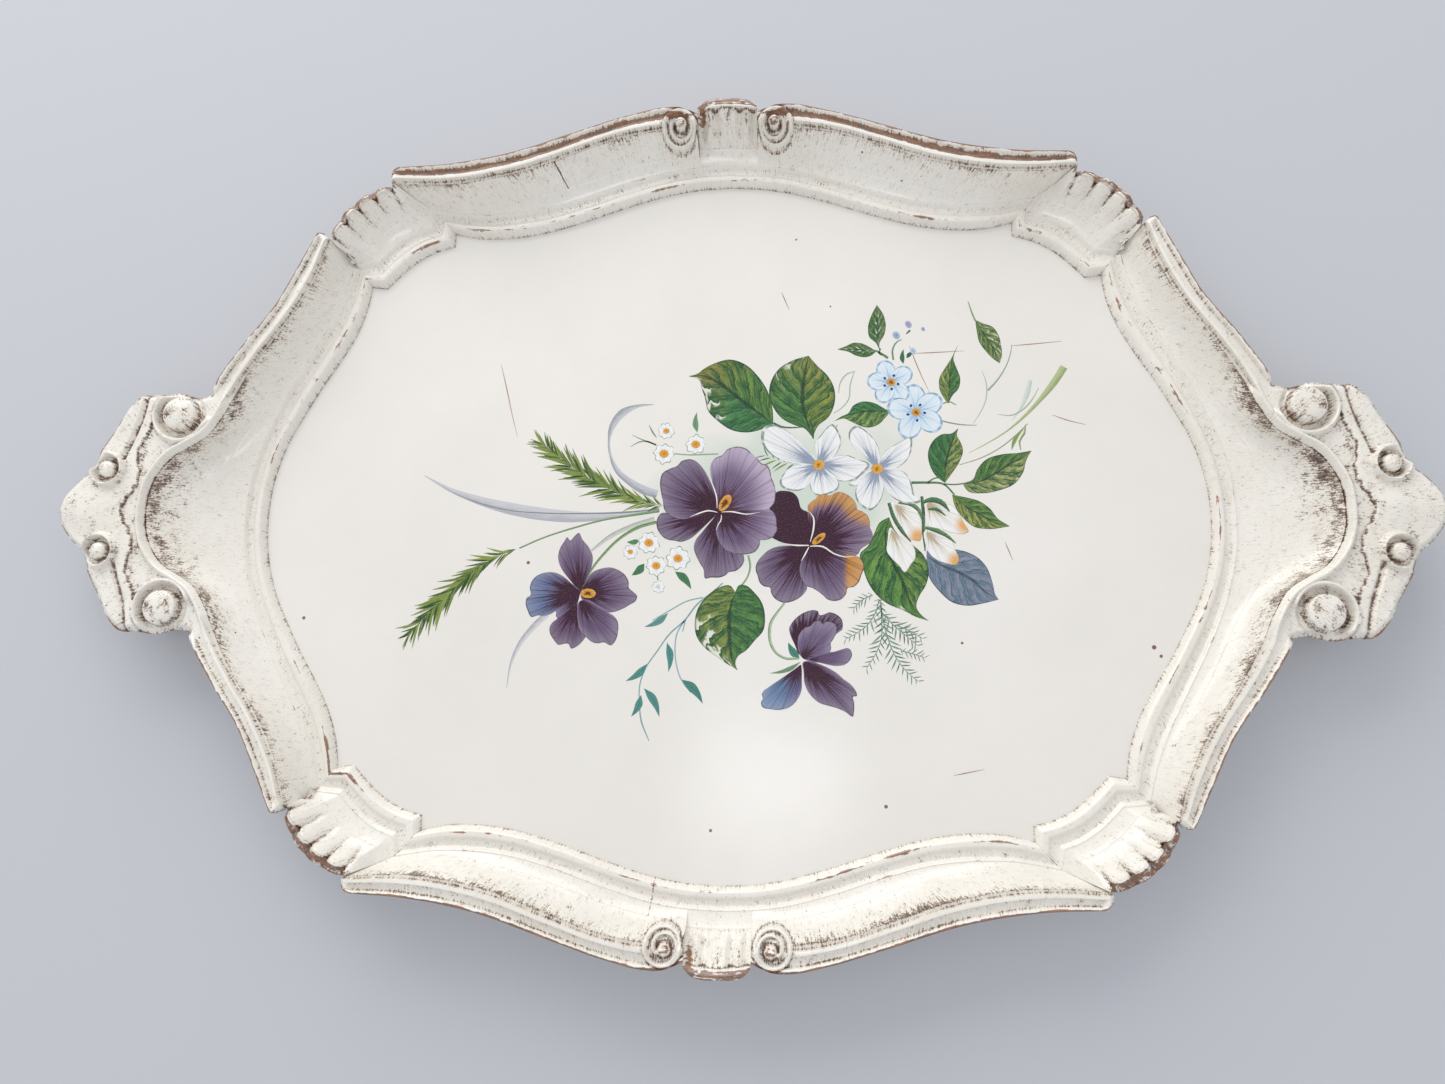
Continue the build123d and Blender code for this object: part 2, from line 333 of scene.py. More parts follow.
def fan_film(outline, root, level, rings=12, **values):
    """A petal: a film that opens from its root. Its print runs round the edge and out from the root."""
    away = rounded(outline) - root
    if (away[:, 0] * np.roll(away[:, 1], -1) - away[:, 1] * np.roll(away[:, 0], -1)).sum() < 0:
        away = away[::-1]
    far, angle = np.hypot(*away.T), np.unwrap(np.arctan2(away[:, 1], away[:, 0]))
    whole = angle[-1] - angle[0] > 1.6 * np.pi
    if not whole:
        start = int(np.argmin(angle))
        far, angle = np.roll(far, -start), np.roll(angle, -start)
        far, angle = far[:np.argmax(angle) + 1], angle[:np.argmax(angle) + 1]
    count = len(far)
    angle = np.maximum.accumulate(angle) + 1e-4 * np.arange(count) / count
    rim = root + far[:, None] * np.stack([np.cos(angle), np.sin(angle)], -1)
    reach = np.linspace(0, 1, rings + 1)[1:]
    points = np.concatenate([[root], (np.array(root) + (rim - root) * reach[:, None, None]).reshape(-1, 2)])
    turn = np.concatenate([[0], np.cumsum(np.hypot(*np.diff(rim, axis=0).T))])
    uv = np.concatenate([[[turn.mean(), 0]], np.stack(np.meshgrid(turn, reach), -1).reshape(-1, 2)])
    last = count if whole else count - 1
    faces = [(0, 1 + k, 1 + (k + 1) % count) for k in range(last)]
    for r in range(rings - 1):
        a, b = 1 + r * count, 1 + (r + 1) * count
        faces += [(a + k, b + k, b + (k + 1) % count, a + (k + 1) % count) for k in range(last)]
    edge = list(range(1 + (rings - 1) * count, 1 + rings * count))
    if not whole:
        edge += ([1 + r * count + count - 1 for r in range(rings - 2, -1, -1)] + [0]
                 + [1 + r * count for r in range(rings - 1)])
    return {"points": points, "uv": uv, "faces": faces, "edge": edge, "level": level, "values": values}


def strip_film(left, rib, right, level, rows=40, columns=6, **values):
    """A leaf or a stem: a film between two edges with a midrib. Its print runs along and across."""
    along = np.linspace(0.004, 0.996, rows)
    side, middle, other = (smooth_line(line)(along) if isinstance(line, list) else line(along)
                           for line in (left, rib, right))
    across = np.linspace(-1, 1, 2 * columns + 1)
    points = []
    for u in across:
        points.append(middle + (side - middle) * -u if u < 0 else middle + (other - middle) * u)
    points = np.stack(points, 1)
    wide = len(across)
    index = np.arange(rows * wide).reshape(rows, wide)
    faces = np.stack([index[:-1, :-1], index[:-1, 1:], index[1:, 1:], index[1:, :-1]], -1).reshape(-1, 4)
    edge = list(index[0]) + list(index[1:, -1]) + list(index[-1, -2::-1]) + list(index[-2:0:-1, 0])
    uv = np.stack(np.meshgrid(along, across, indexing="ij"), -1).reshape(-1, 2)
    return {"points": points.reshape(-1, 2), "uv": uv, "faces": faces.tolist(),
            "edge": [int(k) for k in edge], "level": level, "values": values}


def line_film(route, widths, level, rows=None, **values):
    """A stem or a blade of grass: a film along a route, with its widths in mm at even steps."""
    path = smooth_line(route)
    length = np.hypot(*np.diff(path(np.linspace(0, 1, 60)), axis=0).T).sum()

    def edge(sign):
        def line(share):
            ahead = unit(path(np.minimum(share + 0.01, 1)) - path(np.maximum(share - 0.01, 0)))
            half = np.interp(share, np.linspace(0, 1, len(widths)), widths)[:, None] / 2
            return path(share) + sign * half * np.stack([-ahead[:, 1], ahead[:, 0]], -1)
        return line

    return strip_film(edge(1), path, edge(-1), level, rows=rows or max(6, round(length / 1.5)),
                      columns=1, **values)


COLOUR_SETS = ("pale", "deep", "edge")
PLAIN_INK = {**{key: "#F0ECE5" for key in COLOUR_SETS}, "core": 0.5, "line": 0.97, "bare": 0.0, "wash": 0.0}


def film_piece(name, films, material):
    """One object of closed thin films, with their inks as attributes."""
    points, faces, uv = [], [], []
    values = {key: [] for key in PLAIN_INK}
    start = 0
    for film in films:
        plan, edge = film["points"], film["edge"]
        count, low = len(plan), len(edge)
        top = np.column_stack([plan, np.full(count, INK_TOP + film["level"] * INK_STEP)])
        foot = np.column_stack([plan[edge], np.full(low, BOARD_TOP - INK_ROOT)])
        points += [top, foot]
        uv += [film["uv"], film["uv"][edge]]
        faces += [[start + k for k in face] for face in film["faces"]]
        faces += [[start + edge[k], start + count + k, start + count + (k + 1) % low,
                   start + edge[(k + 1) % low]] for k in range(low)]
        faces.append([start + count + k for k in range(low)])
        for key in values:
            value = film["values"].get(key, PLAIN_INK[key])
            if callable(value):
                value = value(plan[:, 0], plan[:, 1], film["uv"])
            if isinstance(value, str):
                value = np.tile(linear(value), (count, 1))
            value = np.broadcast_to(value, (count, 4) if key in COLOUR_SETS else (count,))
            values[key] += [value, value[edge]]
        start += count + low
    mesh = bpy.data.meshes.new(name)
    mesh.from_pydata((np.concatenate(points) * MM).tolist(), [], faces)
    for key, value in values.items():
        kind = "FLOAT_COLOR" if key in COLOUR_SETS else "FLOAT"
        layer = mesh.attributes.new(key, kind, "POINT")
        layer.data.foreach_set("color" if key in COLOUR_SETS else "value",
                               np.concatenate(value).astype(np.float32).ravel())
    corner = np.zeros(len(mesh.loops), np.int32)
    mesh.loops.foreach_get("vertex_index", corner)
    layer = mesh.uv_layers.new(name="print")
    layer.data.foreach_set("uv", np.concatenate(uv)[corner].astype(np.float32).ravel())
    face_outward(mesh)
    piece = add_object(name, mesh)
    piece.data.materials.append(material)
    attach(piece, "root")
    return piece


def blend_of(first, second, share):
    """Two hex inks mixed at each point."""
    a, b = np.array(linear(first)), np.array(linear(second))
    return a + (b - a) * np.clip(np.asarray(share), 0, 1)[:, None]


class Ink:
    """A material under construction, with short ways to add its nodes."""

    def __init__(self, name):
        self.material, self.out = new_material(name)

    def node(self, kind, links=(), **settings):
        return add_node(self.material, kind, links, **settings)

    def value(self, name):
        return self.node("ShaderNodeAttribute", attribute_name=name).outputs["Fac"]

    def colour(self, name):
        return self.node("ShaderNodeAttribute", attribute_name=name).outputs["Color"]

    def place(self):
        return self.node("ShaderNodeTexCoord").outputs["Object"]

    def follow(self, layer):
        return self.node("ShaderNodeUVMap", uv_map=layer).outputs["UV"]

    def noise(self, vector, scale, detail=2.0, roughness=0.5):
        return self.node("ShaderNodeTexNoise", [("Vector", vector)], Scale=scale, Detail=detail,
                         Roughness=roughness).outputs["Fac"]

    def stretched(self, vector, scale):
        return self.node("ShaderNodeMapping", [("Vector", vector)], Scale=scale).outputs["Vector"]

    def maths(self, operation, a, b=0.0):
        node = self.node("ShaderNodeMath", operation=operation)
        for k, value in enumerate((a, b)):
            if isinstance(value, (int, float)):
                node.inputs[k].default_value = value
            else:
                self.material.node_tree.links.new(value, node.inputs[k])
        return node.outputs[0]

    def plus(self, a, b):
        return self.maths("ADD", a, b)

    def minus(self, a, b):
        return self.maths("SUBTRACT", a, b)

    def times(self, a, b):
        return self.maths("MULTIPLY", a, b)

    def step(self, value, low, high):
        return self.node("ShaderNodeMapRange", [("Value", value)], interpolation_type="SMOOTHSTEP",
                         From_Min=low, From_Max=high).outputs["Result"]

    def mix(self, factor, a, b):
        node = self.node("ShaderNodeMix", data_type="RGBA")
        for key, value in (("Factor", factor), ("A", a), ("B", b)):
            if isinstance(value, str):
                node.inputs[key].default_value = linear(value)
            elif isinstance(value, float):
                node.inputs[key].default_value = value
            else:
                self.material.node_tree.links.new(value, node.inputs[key])
        return node.outputs["Result"]

    def varnished(self, colour, height, strength=0.07, roughness=0.5, coat=0.4, coat_roughness=0.17,
                  gleam=0.15):
        bump = self.node("ShaderNodeBump", [("Height", height)], Strength=strength, Distance=0.001)
        skin = self.node("ShaderNodeBsdfPrincipled",
                         [("Base Color", colour), ("Normal", bump.outputs["Normal"])],
                         Roughness=roughness, Coat_Weight=coat, Coat_Roughness=coat_roughness,
                         Specular_IOR_Level=gleam)
        self.material.node_tree.links.new(skin.outputs["BSDF"], self.out.inputs["Surface"])
        return self.material


def petal_ink():
    """Offset-printed petals under varnish: a dark heart that breaks into fine radial strokes, a
    paler rim, a thin broken outline and the grain of the print."""
    ink = Ink("printed_petal_ink")
    print_at = ink.follow("print")
    reach = ink.node("ShaderNodeSeparateXYZ", [("Vector", print_at)]).outputs["Y"]
    wide = ink.noise(ink.stretched(print_at, (0.9, 0.7, 1)), 1.0, 2.0)
    fine = ink.noise(ink.stretched(print_at, (4.2, 0.7, 1)), 1.0, 2.0, 0.6)
    level = ink.minus(ink.value("core"), reach)
    level = ink.plus(level, ink.times(ink.minus(wide, 0.5), 0.9))
    level = ink.plus(level, ink.times(ink.minus(fine, 0.5), 0.75))
    heart = ink.step(level, -0.05, 0.07)
    lit = ink.mix(ink.times(ink.step(reach, 0.6, 1.05), 0.16), ink.colour("pale"), "#E9E6EE")
    shaded = ink.mix(ink.times(ink.step(wide, 0.45, 0.7), 0.35), lit, ink.colour("deep"))
    hair = ink.times(ink.step(fine, 0.51, 0.57), ink.step(ink.minus(ink.value("core"), reach), -0.55, 0.0))
    lined = ink.mix(ink.times(hair, 0.8), shaded, ink.colour("deep"))
    hearted = ink.mix(ink.times(heart, 0.985), lined, ink.colour("deep"))
    rim = ink.step(ink.minus(reach, ink.value("line")), 0.0, 0.02)
    broken = ink.times(rim, ink.step(ink.noise(ink.stretched(print_at, (0.25, 0.1, 1)), 1.0), 0.3, 0.55))
    outlined = ink.mix(ink.times(broken, 0.85), hearted, ink.colour("edge"))
    grain = ink.noise(ink.place(), 2600.0, 1.0)
    printed = ink.mix(ink.times(ink.step(grain, 0.55, 0.75), 0.09), outlined, "#F2EFEA")
    return ink.varnished(printed, ink.noise(ink.place(), 45.0, 3.0))


PETAL_INK = petal_ink()
PLUM, LILAC, BLUE, ORANGE, GOLD = "#360E28", "#6C5878", "#62769E", "#CB8A10", "#E2A02C"
PAPER = "#EFEBE4"


def petal(outline, root=None, **values):
    """One petal: its outline, the place it opens from if that isn't the flower's own, and its inks."""
    return {"outline": outline, "root": root, "values": values}


def bloom(root, level, petals, deep=PLUM, pale=LILAC, core=0.72, line=0.975, edge="#2A0F26"):
    """The petals of one flower, each on its own level."""
    films = []
    for k, given in enumerate(petals):
        inks = {"deep": deep, "pale": pale, "core": core, "line": line, "edge": edge, **given["values"]}
        films.append(fan_film(given["outline"], given["root"] or root, level + k, **inks))
    return films


def disc(centre, radii, turn=0.0, points=12):
    """Points of an ellipse, its long axis turned by this many degrees."""
    angle = np.linspace(0, 2 * np.pi, points, endpoint=False)
    x, y = radii[0] * np.cos(angle), radii[1] * np.sin(angle)
    c, s = math.cos(math.radians(turn)), math.sin(math.radians(turn))
    return list(zip(centre[0] + c * x - s * y, centre[1] + s * x + c * y))


def yellow_eye(centre, radii, turn, level, pale=GOLD, deep="#5A2F16", core=0.42):
    """The yellow heart of a flower with its dark throat."""
    return [fan_film(disc(centre, radii, turn), centre, level, rings=6, pale=pale, deep=deep,
                     edge="#A8701F", core=core, line=0.9)]


def gap(route, widths, level):
    """A thin line of bare enamel between two petals."""
    return [line_film(route, widths, level, pale=PAPER, deep=PAPER, edge=PAPER, core=0.0, line=2.0)]


pansy_left = [
    petal([(-3.3, 1.2), (-5, 2), (-8, 1.8), (-12, 0.2), (-17, -0.5), (-21, 0.6), (-24, 1.8), (-25.6, 0.4),
           (-26.2, -3), (-25, -6), (-22.5, -8.3), (-19, -9), (-16.5, -9.4), (-13, -8), (-10.5, -6),
           (-8, -3.5), (-5.5, -1)], core=0.72),
    petal([(-2.8, 3), (-3.2, 6), (-4, 9), (-5.5, 13), (-7.5, 17), (-10, 20.5), (-12.5, 22.4), (-14.5, 22.7),
           (-17, 22), (-18.7, 20.2), (-21.5, 19), (-24.3, 17.3), (-25.2, 14), (-24.8, 10), (-24, 6.5),
           (-23.3, 3), (-20.5, 0.4), (-16.5, -0.7), (-13, 0), (-10, 1.3), (-7, 2.2), (-4.5, 2.2)],
          core=0.55),
    petal([(-2.4, 4), (-3.3, 8), (-4.2, 12), (-5.5, 15), (-6, 18), (-5.6, 21), (-4, 23.2), (-1.5, 24.3),
           (0.5, 26.5), (4, 27.6), (7.5, 26.8), (9.8, 24.8), (11.8, 23), (13.5, 21), (15.5, 20.3),
           (16.7, 18.5), (17.3, 15.5), (18.6, 12), (19, 8.5), (18.4, 5.5), (16.5, 3.4), (13, 2.1), (9, 1.6),
           (5, 1.7), (1, 2.2), (-1.2, 2.4)], core=0.36,
          pale=lambda x, y, uv: blend_of("#7C6A8A", "#B8A6BE", (uv[:, 1] - 0.55) * 2 + (x - 5) / 40),
          deep=lambda x, y, uv: blend_of("#4A1F22", PLUM, uv[:, 1] * 2)),
    petal([(-2.8, 0.8), (-4.3, -0.6), (-6.5, -3), (-9, -6), (-11, -8.5), (-11.8, -11.5), (-11, -14.5),
           (-9.5, -17.5), (-8, -20), (-7.4, -23.3), (-5, -23), (-2, -23), (0.5, -22), (1.5, -21),
           (4, -20.5), (6, -19), (7.2, -16.5), (6.6, -13.8), (3, -11), (0, -6), (-1.2, -2)], core=0.6),
    petal([(-1.4, 0.6), (-2.7, -2.5), (-3.5, -4.5), (-3.2, -7), (-2, -10), (0, -12.3), (3, -13.8),
           (6, -14.2), (9, -14), (11.5, -13), (13, -10.5), (13.2, -8.9), (15.5, -8.6), (18, -7.5),
           (19.7, -5), (19.5, -2.7), (19.4, -0.6), (18.4, 1.6), (16.5, 3), (14, 2.8), (11, 1.5), (7, 1.2),
           (3, 1.5)], core=0.5, pale=lambda x, y, uv: blend_of(LILAC, "#8E7A9A", (x - 6) / 12)),
]
pansy_right = [
    petal([(31.6, -9), (32.5, -5), (33, -2), (32.5, 0.5), (31, 2), (29.2, 2.9), (28.3, 4), (28, 6), (27, 8),
           (25.5, 9.5), (22.5, 10.2), (19.5, 9.8), (18, 7), (17, 4), (16, 1), (15.5, -3), (16, -6.5),
           (18, -8), (21, -9.5), (24, -10.2), (27, -10.5), (30, -10.3)], core=1.3),
    petal([(32.5, -9.5), (33.2, -6), (33.4, -3), (33, 0), (31.6, 2.3), (31, 4), (32.5, 6), (34, 7),
           (35, 8.3), (37, 8.9), (39.5, 8.4), (41, 9.2), (43, 9.7), (45.5, 8.9), (48, 7), (49.4, 4.5),
           (49.6, 3), (51.5, 2.2), (53.5, 0.5), (54.3, -2), (54.3, -4), (55.2, -6), (55.2, -8),
           (54.3, -9.8), (52.5, -11), (50.8, -12.3), (49.8, -14), (48, -15), (45, -15.2), (42, -14.3),
           (39, -12.3), (36, -11), (33.5, -10.6)], core=0.66, edge="#5A3320",
          pale=lambda x, y, uv: blend_of("#7A6280", ORANGE,
                                         (uv[:, 1] - 0.72) * 7 * np.clip((y + 4) / 4, 0, 1)), line=0.985),
    petal([(31, -11.3), (28, -10.9), (24, -10.9), (20, -11.2), (17, -12.3), (14.5, -14.3), (12, -17.5),
           (11.6, -20), (12.4, -22.5), (13.2, -25), (14.8, -26.3), (17, -26.8), (17.4, -28.7), (19, -31),
           (22, -32.4), (25, -32), (28, -30.5), (30, -28.5), (30.8, -26.8), (29.3, -25), (28, -22.5),
           (27.8, -19.5), (28.6, -16.5), (30, -13.5)], core=0.62),
    petal([(31.7, -12), (30.3, -14.5), (28.7, -17), (28, -20), (28.5, -23), (30.5, -26), (33, -27),
           (35, -28.2), (36.8, -29.7), (38.5, -31.2), (41, -31.7), (43.5, -31), (45.2, -29), (45.8, -26.9),
           (48, -26.4), (50, -24.5), (50.9, -22), (51.8, -19.5), (51.2, -16.7), (49.6, -15), (47, -15.2),
           (43, -14.8), (39.5, -13), (36, -11.6), (33, -11.4)], core=0.5,
          pale=lambda x, y, uv: blend_of(LILAC, ORANGE, (x - 44.5) / 1.6 * (uv[:, 1] > 0.2))),
]
violet_left = [
    petal([(-54, -26.5), (-58, -24.2), (-61, -21.5), (-63, -18), (-63.6, -15), (-63, -12), (-61.5, -9.3),
           (-60.3, -7.7), (-59.3, -9), (-57.5, -7.2), (-56, -6), (-54.5, -8.6), (-52, -11.5), (-50.4, -15),
           (-50.5, -18.5), (-51.5, -21.5), (-53, -24.5)], core=0.5),
    petal([(-55, -28), (-58, -25.5), (-61, -23), (-64, -21.5), (-67, -21.2), (-70.5, -22), (-73, -24),
           (-74, -27), (-73.6, -30), (-75, -31), (-75.4, -33), (-74.6, -35.5), (-73, -38.2), (-70.5, -37.6),
           (-68, -37.8), (-65.5, -37), (-63.6, -36), (-63.5, -38), (-62, -39.3), (-60, -39.2), (-58, -38),
           (-56, -35), (-55.2, -31)], core=0.6, pale=lambda x, y, uv: blend_of(LILAC, BLUE, (-60 - x) / 9)),
    petal([(-53.6, -28), (-52.3, -24), (-50, -21), (-47, -19.8), (-43.5, -19.3), (-40, -20.5),
           (-37.5, -22.5), (-36.3, -25), (-36.2, -27), (-34.6, -28.5), (-33, -30), (-33.5, -32),
           (-35.5, -33.3), (-38, -34.8), (-41, -36), (-44, -36.4), (-48, -35.5), (-52, -33), (-54.2, -31)],
          core=0.56),
    petal([(-55.6, -33), (-57, -37), (-60, -39.3), (-62.5, -39.2), (-64.5, -40), (-65.8, -42),
           (-65.5, -44.5), (-64, -46.8), (-62.3, -48.6), (-60.3, -48.3), (-58.5, -48.2), (-57.3, -50),
           (-55, -49), (-53, -47), (-52, -45.2), (-54, -43), (-55.2, -38)], root=(-56, -33.5), core=0.55,
          pale="#664E6E"),
    petal([(-55, -32.5), (-55.5, -36), (-55.2, -39.5), (-54.3, -43), (-52, -45.5), (-49.5, -47.5),
           (-47.5, -48), (-45, -47.6), (-42.3, -48.7), (-40.5, -46.5), (-39.8, -43), (-40, -40),
           (-41.5, -37.8), (-44, -36.3), (-48, -33.6), (-52, -31.6)], root=(-54.4, -32), core=0.42),
]
violet_low = [
    petal([(28.3, -52), (26, -47.5), (24.8, -45), (24.2, -42), (25.3, -39.8), (27.5, -37.5), (30, -36),
           (33, -35.2), (34.8, -35.6), (35.3, -37), (37, -36.8), (39, -36), (41.5, -36.7), (43.5, -38.5),
           (43.9, -41), (43.3, -43.2), (41.5, -44), (40, -46.5), (36, -50), (32, -52)], core=0.9,
          pale="#604868"),
    petal([(28.6, -52.4), (27.3, -47), (28, -44), (30, -41.7), (32, -41), (33.5, -39.5), (35.5, -39),
           (36.7, -40.4), (37.5, -39.6), (39.5, -39.4), (41.2, -40.3), (41.8, -42), (41, -44.5),
           (39.5, -47), (39.4, -50), (36, -52.5), (32, -54)], core=0.34, pale="#746484"),
    petal([(33, -52.6), (36, -51.4), (39.5, -50.6), (41.5, -50.8), (43.5, -50), (45, -49.2), (46.5, -49.6),
           (47.2, -51.5), (46.5, -53.5), (44.5, -55.2), (41.5, -55.7), (38.5, -55.3), (35.5, -54.6),
           (32.5, -54.2)], root=(31.5, -53.5), core=0.25, pale="#6A5678"),
    petal([(28.2, -55.6), (26, -57.2), (23, -58.2), (19.5, -59.3), (17.5, -61), (16.5, -62.5), (15, -63.5),
           (15, -64.8), (14.2, -66.3), (14.6, -67.8), (13.9, -69.3), (14.5, -71), (17, -71.6), (20, -71.9),
           (23, -71.4), (25.5, -70), (27.5, -67.5), (28.7, -64.5), (28.8, -60), (28.8, -57)],
          root=(28.6, -55.4), core=0.45,
          pale=lambda x, y, uv: blend_of("#5C527E", "#6684AA", (27 - x) / 8 + 0.2)),
    petal([(29.2, -54.6), (29.5, -58), (29.8, -62), (31, -65), (33, -67.5), (35.5, -69.3), (38.5, -70.2),
           (41.5, -71), (44.5, -72.3), (47.3, -74), (47.8, -71.5), (47.8, -69), (47.4, -66.9),
           (48.9, -66.5), (48, -64), (46.5, -62.3), (44, -60.5), (41.5, -58.3), (38.5, -56.5), (35, -55),
           (31.5, -54)], root=(29.8, -54.8), core=0.6),
]
films = bloom((-54.6, -29), 20, violet_left) + bloom((29.2, -53), 20, violet_low)
films += bloom((31.9, -10.6), 20, pansy_right) + bloom((-2.2, 2.4), 26, pansy_left)
films += gap([(-3.2, 3.5), (-3.5, 8), (-5, 12.5), (-6.5, 15.5)], [0.2, 0.5, 0.4, 0.1], 32)
films += gap([(-3, 1.9), (-6.5, 2.6), (-10, 1.6), (-13.5, 0.2)], [0.2, 0.55, 0.5, 0.1], 32)
films += gap([(-1.6, 2), (2, 2.2), (8, 1.2), (13, 1.9)], [0.2, 0.55, 0.4, 0.1], 32)
films += gap([(-1.6, 1), (-1.6, -1), (-2.7, -2.8), (-3.4, -5)], [0.2, 0.5, 0.3, 0.1], 32)
films += gap([(32, -9.5), (33.3, -4), (33.2, 0), (31.2, 2.6)], [0.2, 0.6, 0.6, 0.1], 32)
films += gap([(31.5, -10.8), (27, -10.8), (22, -10.3)], [0.4, 0.6, 0.1], 32)
films += gap([(31.8, -11.1), (36.5, -11.2), (41, -14), (45.5, -15.2), (48.5, -14.9)],
             [0.3, 0.6, 0.5, 0.4, 0.1], 32)
films += gap([(31.5, -11.4), (30.2, -14), (28.6, -16.8)], [0.3, 0.6, 0.1], 32)
films += (yellow_eye((-0.2, 5.6), (3.6, 1.9), 58, 33,
                     core=0.5) + yellow_eye((35.2, -8.3), (3.2, 1.3), 40, 33))
films += yellow_eye((-51.6, -29.2), (3, 1.8), -4, 33)
film_piece("print_pansies", films, PETAL_INK)

# The small flowers: two white ones with five long petals, two pale blue ones, daisies and buds
WHITE, WHITE_SHADE, GREY_LINE = "#F3F3F1", "#8E99AE", "#5F7268"
white_flowers = {
    (35.3, 20.3): [
        [(34.3, 22), (31, 26), (27, 30.5), (22, 34.5), (17, 36.3), (14.2, 35), (13.4, 30), (16, 25.5),
         (21, 22.3), (27, 20.8), (32.5, 20.3)],
        [(35, 22), (34, 26), (34, 29.5), (36, 31.7), (38.5, 35), (40.5, 36.3), (42.5, 34), (43.8, 30),
         (43, 26.5), (41, 23.5), (37.5, 21.5)],
        [(37, 20.8), (42, 23.6), (46, 24), (50, 22.5), (54.5, 20.3), (52, 17), (49.5, 14.8), (46, 13.8),
         (42.5, 14.3), (39, 17), (36.8, 19.2)],
        [(34.5, 18.8), (32.5, 15), (32, 12), (33.5, 9), (36, 8.3), (39, 9), (42, 10.5), (43, 12.5),
         (41.5, 15.5), (37, 18.8)],
        [(33.5, 20), (28, 20.5), (24.5, 19.5), (22, 17), (20.5, 13.7), (21.5, 11.5), (25, 10.3),
         (28.5, 10.5), (31.5, 12.5), (34, 17.5)],
    ],
    (57.3, 18.6): [
        [(55.5, 18.3), (51, 16), (48.5, 13.8), (46.5, 12.6), (49, 12), (53, 13.4), (56.5, 16.5)],
        [(56.6, 20.5), (53, 23.5), (49.5, 26), (47, 29.5), (47, 33.5), (49.5, 35.6), (52, 34.5), (56, 30.5),
         (58, 26.5), (58, 21)],
        [(58.3, 20.4), (60.5, 25.5), (65, 28.5), (70.2, 31), (70.5, 27.5), (69.5, 23.5), (67, 20.5),
         (63.5, 18.6), (59.5, 19)],
        [(57.5, 17), (53.5, 14.5), (50.5, 13), (49, 10), (49.5, 6.5), (51.5, 4), (54.5, 2.6), (57.5, 5),
         (59.3, 9), (59.6, 13), (58.7, 16.5)],
        [(58.8, 17.8), (63, 17.9), (67, 17.5), (69.5, 14.5), (70.5, 11), (71.3, 7.5), (73.5, 6), (70, 5),
         (66.5, 5.6), (62, 8.5), (59.8, 13)],
    ],
}
films = []
for centre, petals in white_flowers.items():
    films += bloom(centre, 14, [petal(outline) for outline in petals], deep=WHITE_SHADE, pale=WHITE,
                   core=0.44, line=0.94, edge=GREY_LINE)
    films += yellow_eye(centre, (2.2, 2), 0, 19, pale="#E3A63A", deep="#8A6A22", core=0.3)
buds = [
    ([(62, 5), (63, 0), (64.5, -3), (67, -7), (70, -8.7), (72.8, -9), (73.6, -6), (73.5, -3), (72.5, 1),
      (71, 4), (67, 5.4), (64, 5.6)], (64.5, 4), (72.5, -8)),
    ([(74.5, 4), (75, -1), (76, -3.5), (80, -4.5), (85, -6), (88, -6.5), (90.7, -5.5), (89, -2), (87, 2),
      (84, 5), (80, 6.5), (76.5, 6.5)], (76, 5), (90, -3)),
    ([(74.5, -5.5), (74.5, -9), (76, -13.5), (78.5, -16), (82, -17.5), (86, -18), (87, -16), (85.5, -12),
      (84.5, -9), (81, -6.5), (77.5, -5)], (75.5, -6), (86.5, -17)),
    ([(61.8, -4), (60.8, -9), (60.5, -13), (62.5, -16), (65, -18.5), (67, -21), (69, -18.5), (71, -15),
      (70.5, -11.5), (68.5, -9.5), (65.5, -8), (63.5, -5.5)], (62.5, -5), (67, -40)),
]


def bud_tone(tip):
    """White petals that turn golden at the bud's tip."""
    return lambda x, y, uv: blend_of(WHITE, GOLD, 1.6 - np.hypot(x - tip[0], y - tip[1]) / 3)


for k, (outline, root, tip) in enumerate(buds):
    films.append(fan_film(outline, root, 12 + k, deep="#B9A98C", pale=bud_tone(tip), core=0.35,
                          line=0.975, edge="#8C8A6A"))
for centre, size, angles in (((63, 52.8), (4.1, 3.6), (112, 32, 308, 240, 176)),
                             ((72.3, 40.7), (5, 4.3), (96, 32, 325, 246, 166))):
    for k, angle in enumerate(angles):
        ahead = (math.cos(math.radians(angle)), math.sin(math.radians(angle)))
        middle = (centre[0] + ahead[0] * size[0] * 1.25, centre[1] + ahead[1] * size[0] * 1.25)
        films.append(fan_film(disc(middle, size, angle), centre, 9 + k, deep="#9CBEDC", pale="#E0EBF2",
                              core=0.36, line=0.9, edge="#6F9CBC"))
        aside = (middle[0] * 0.45 + centre[0] * 0.55 - ahead[1] * 1.6,
                 middle[1] * 0.45 + centre[1] * 0.55 + ahead[0] * 1.6)
        films.append(fan_film(disc(aside, (0.62, 0.5), angle, 6), aside, 15, rings=2, deep="#22305A",
                              pale="#22305A", edge="#22305A"))
    films += yellow_eye(centre, (1.7, 1.6), 0, 15, pale="#E0A03A", deep="#8A4A1E", core=0.45)
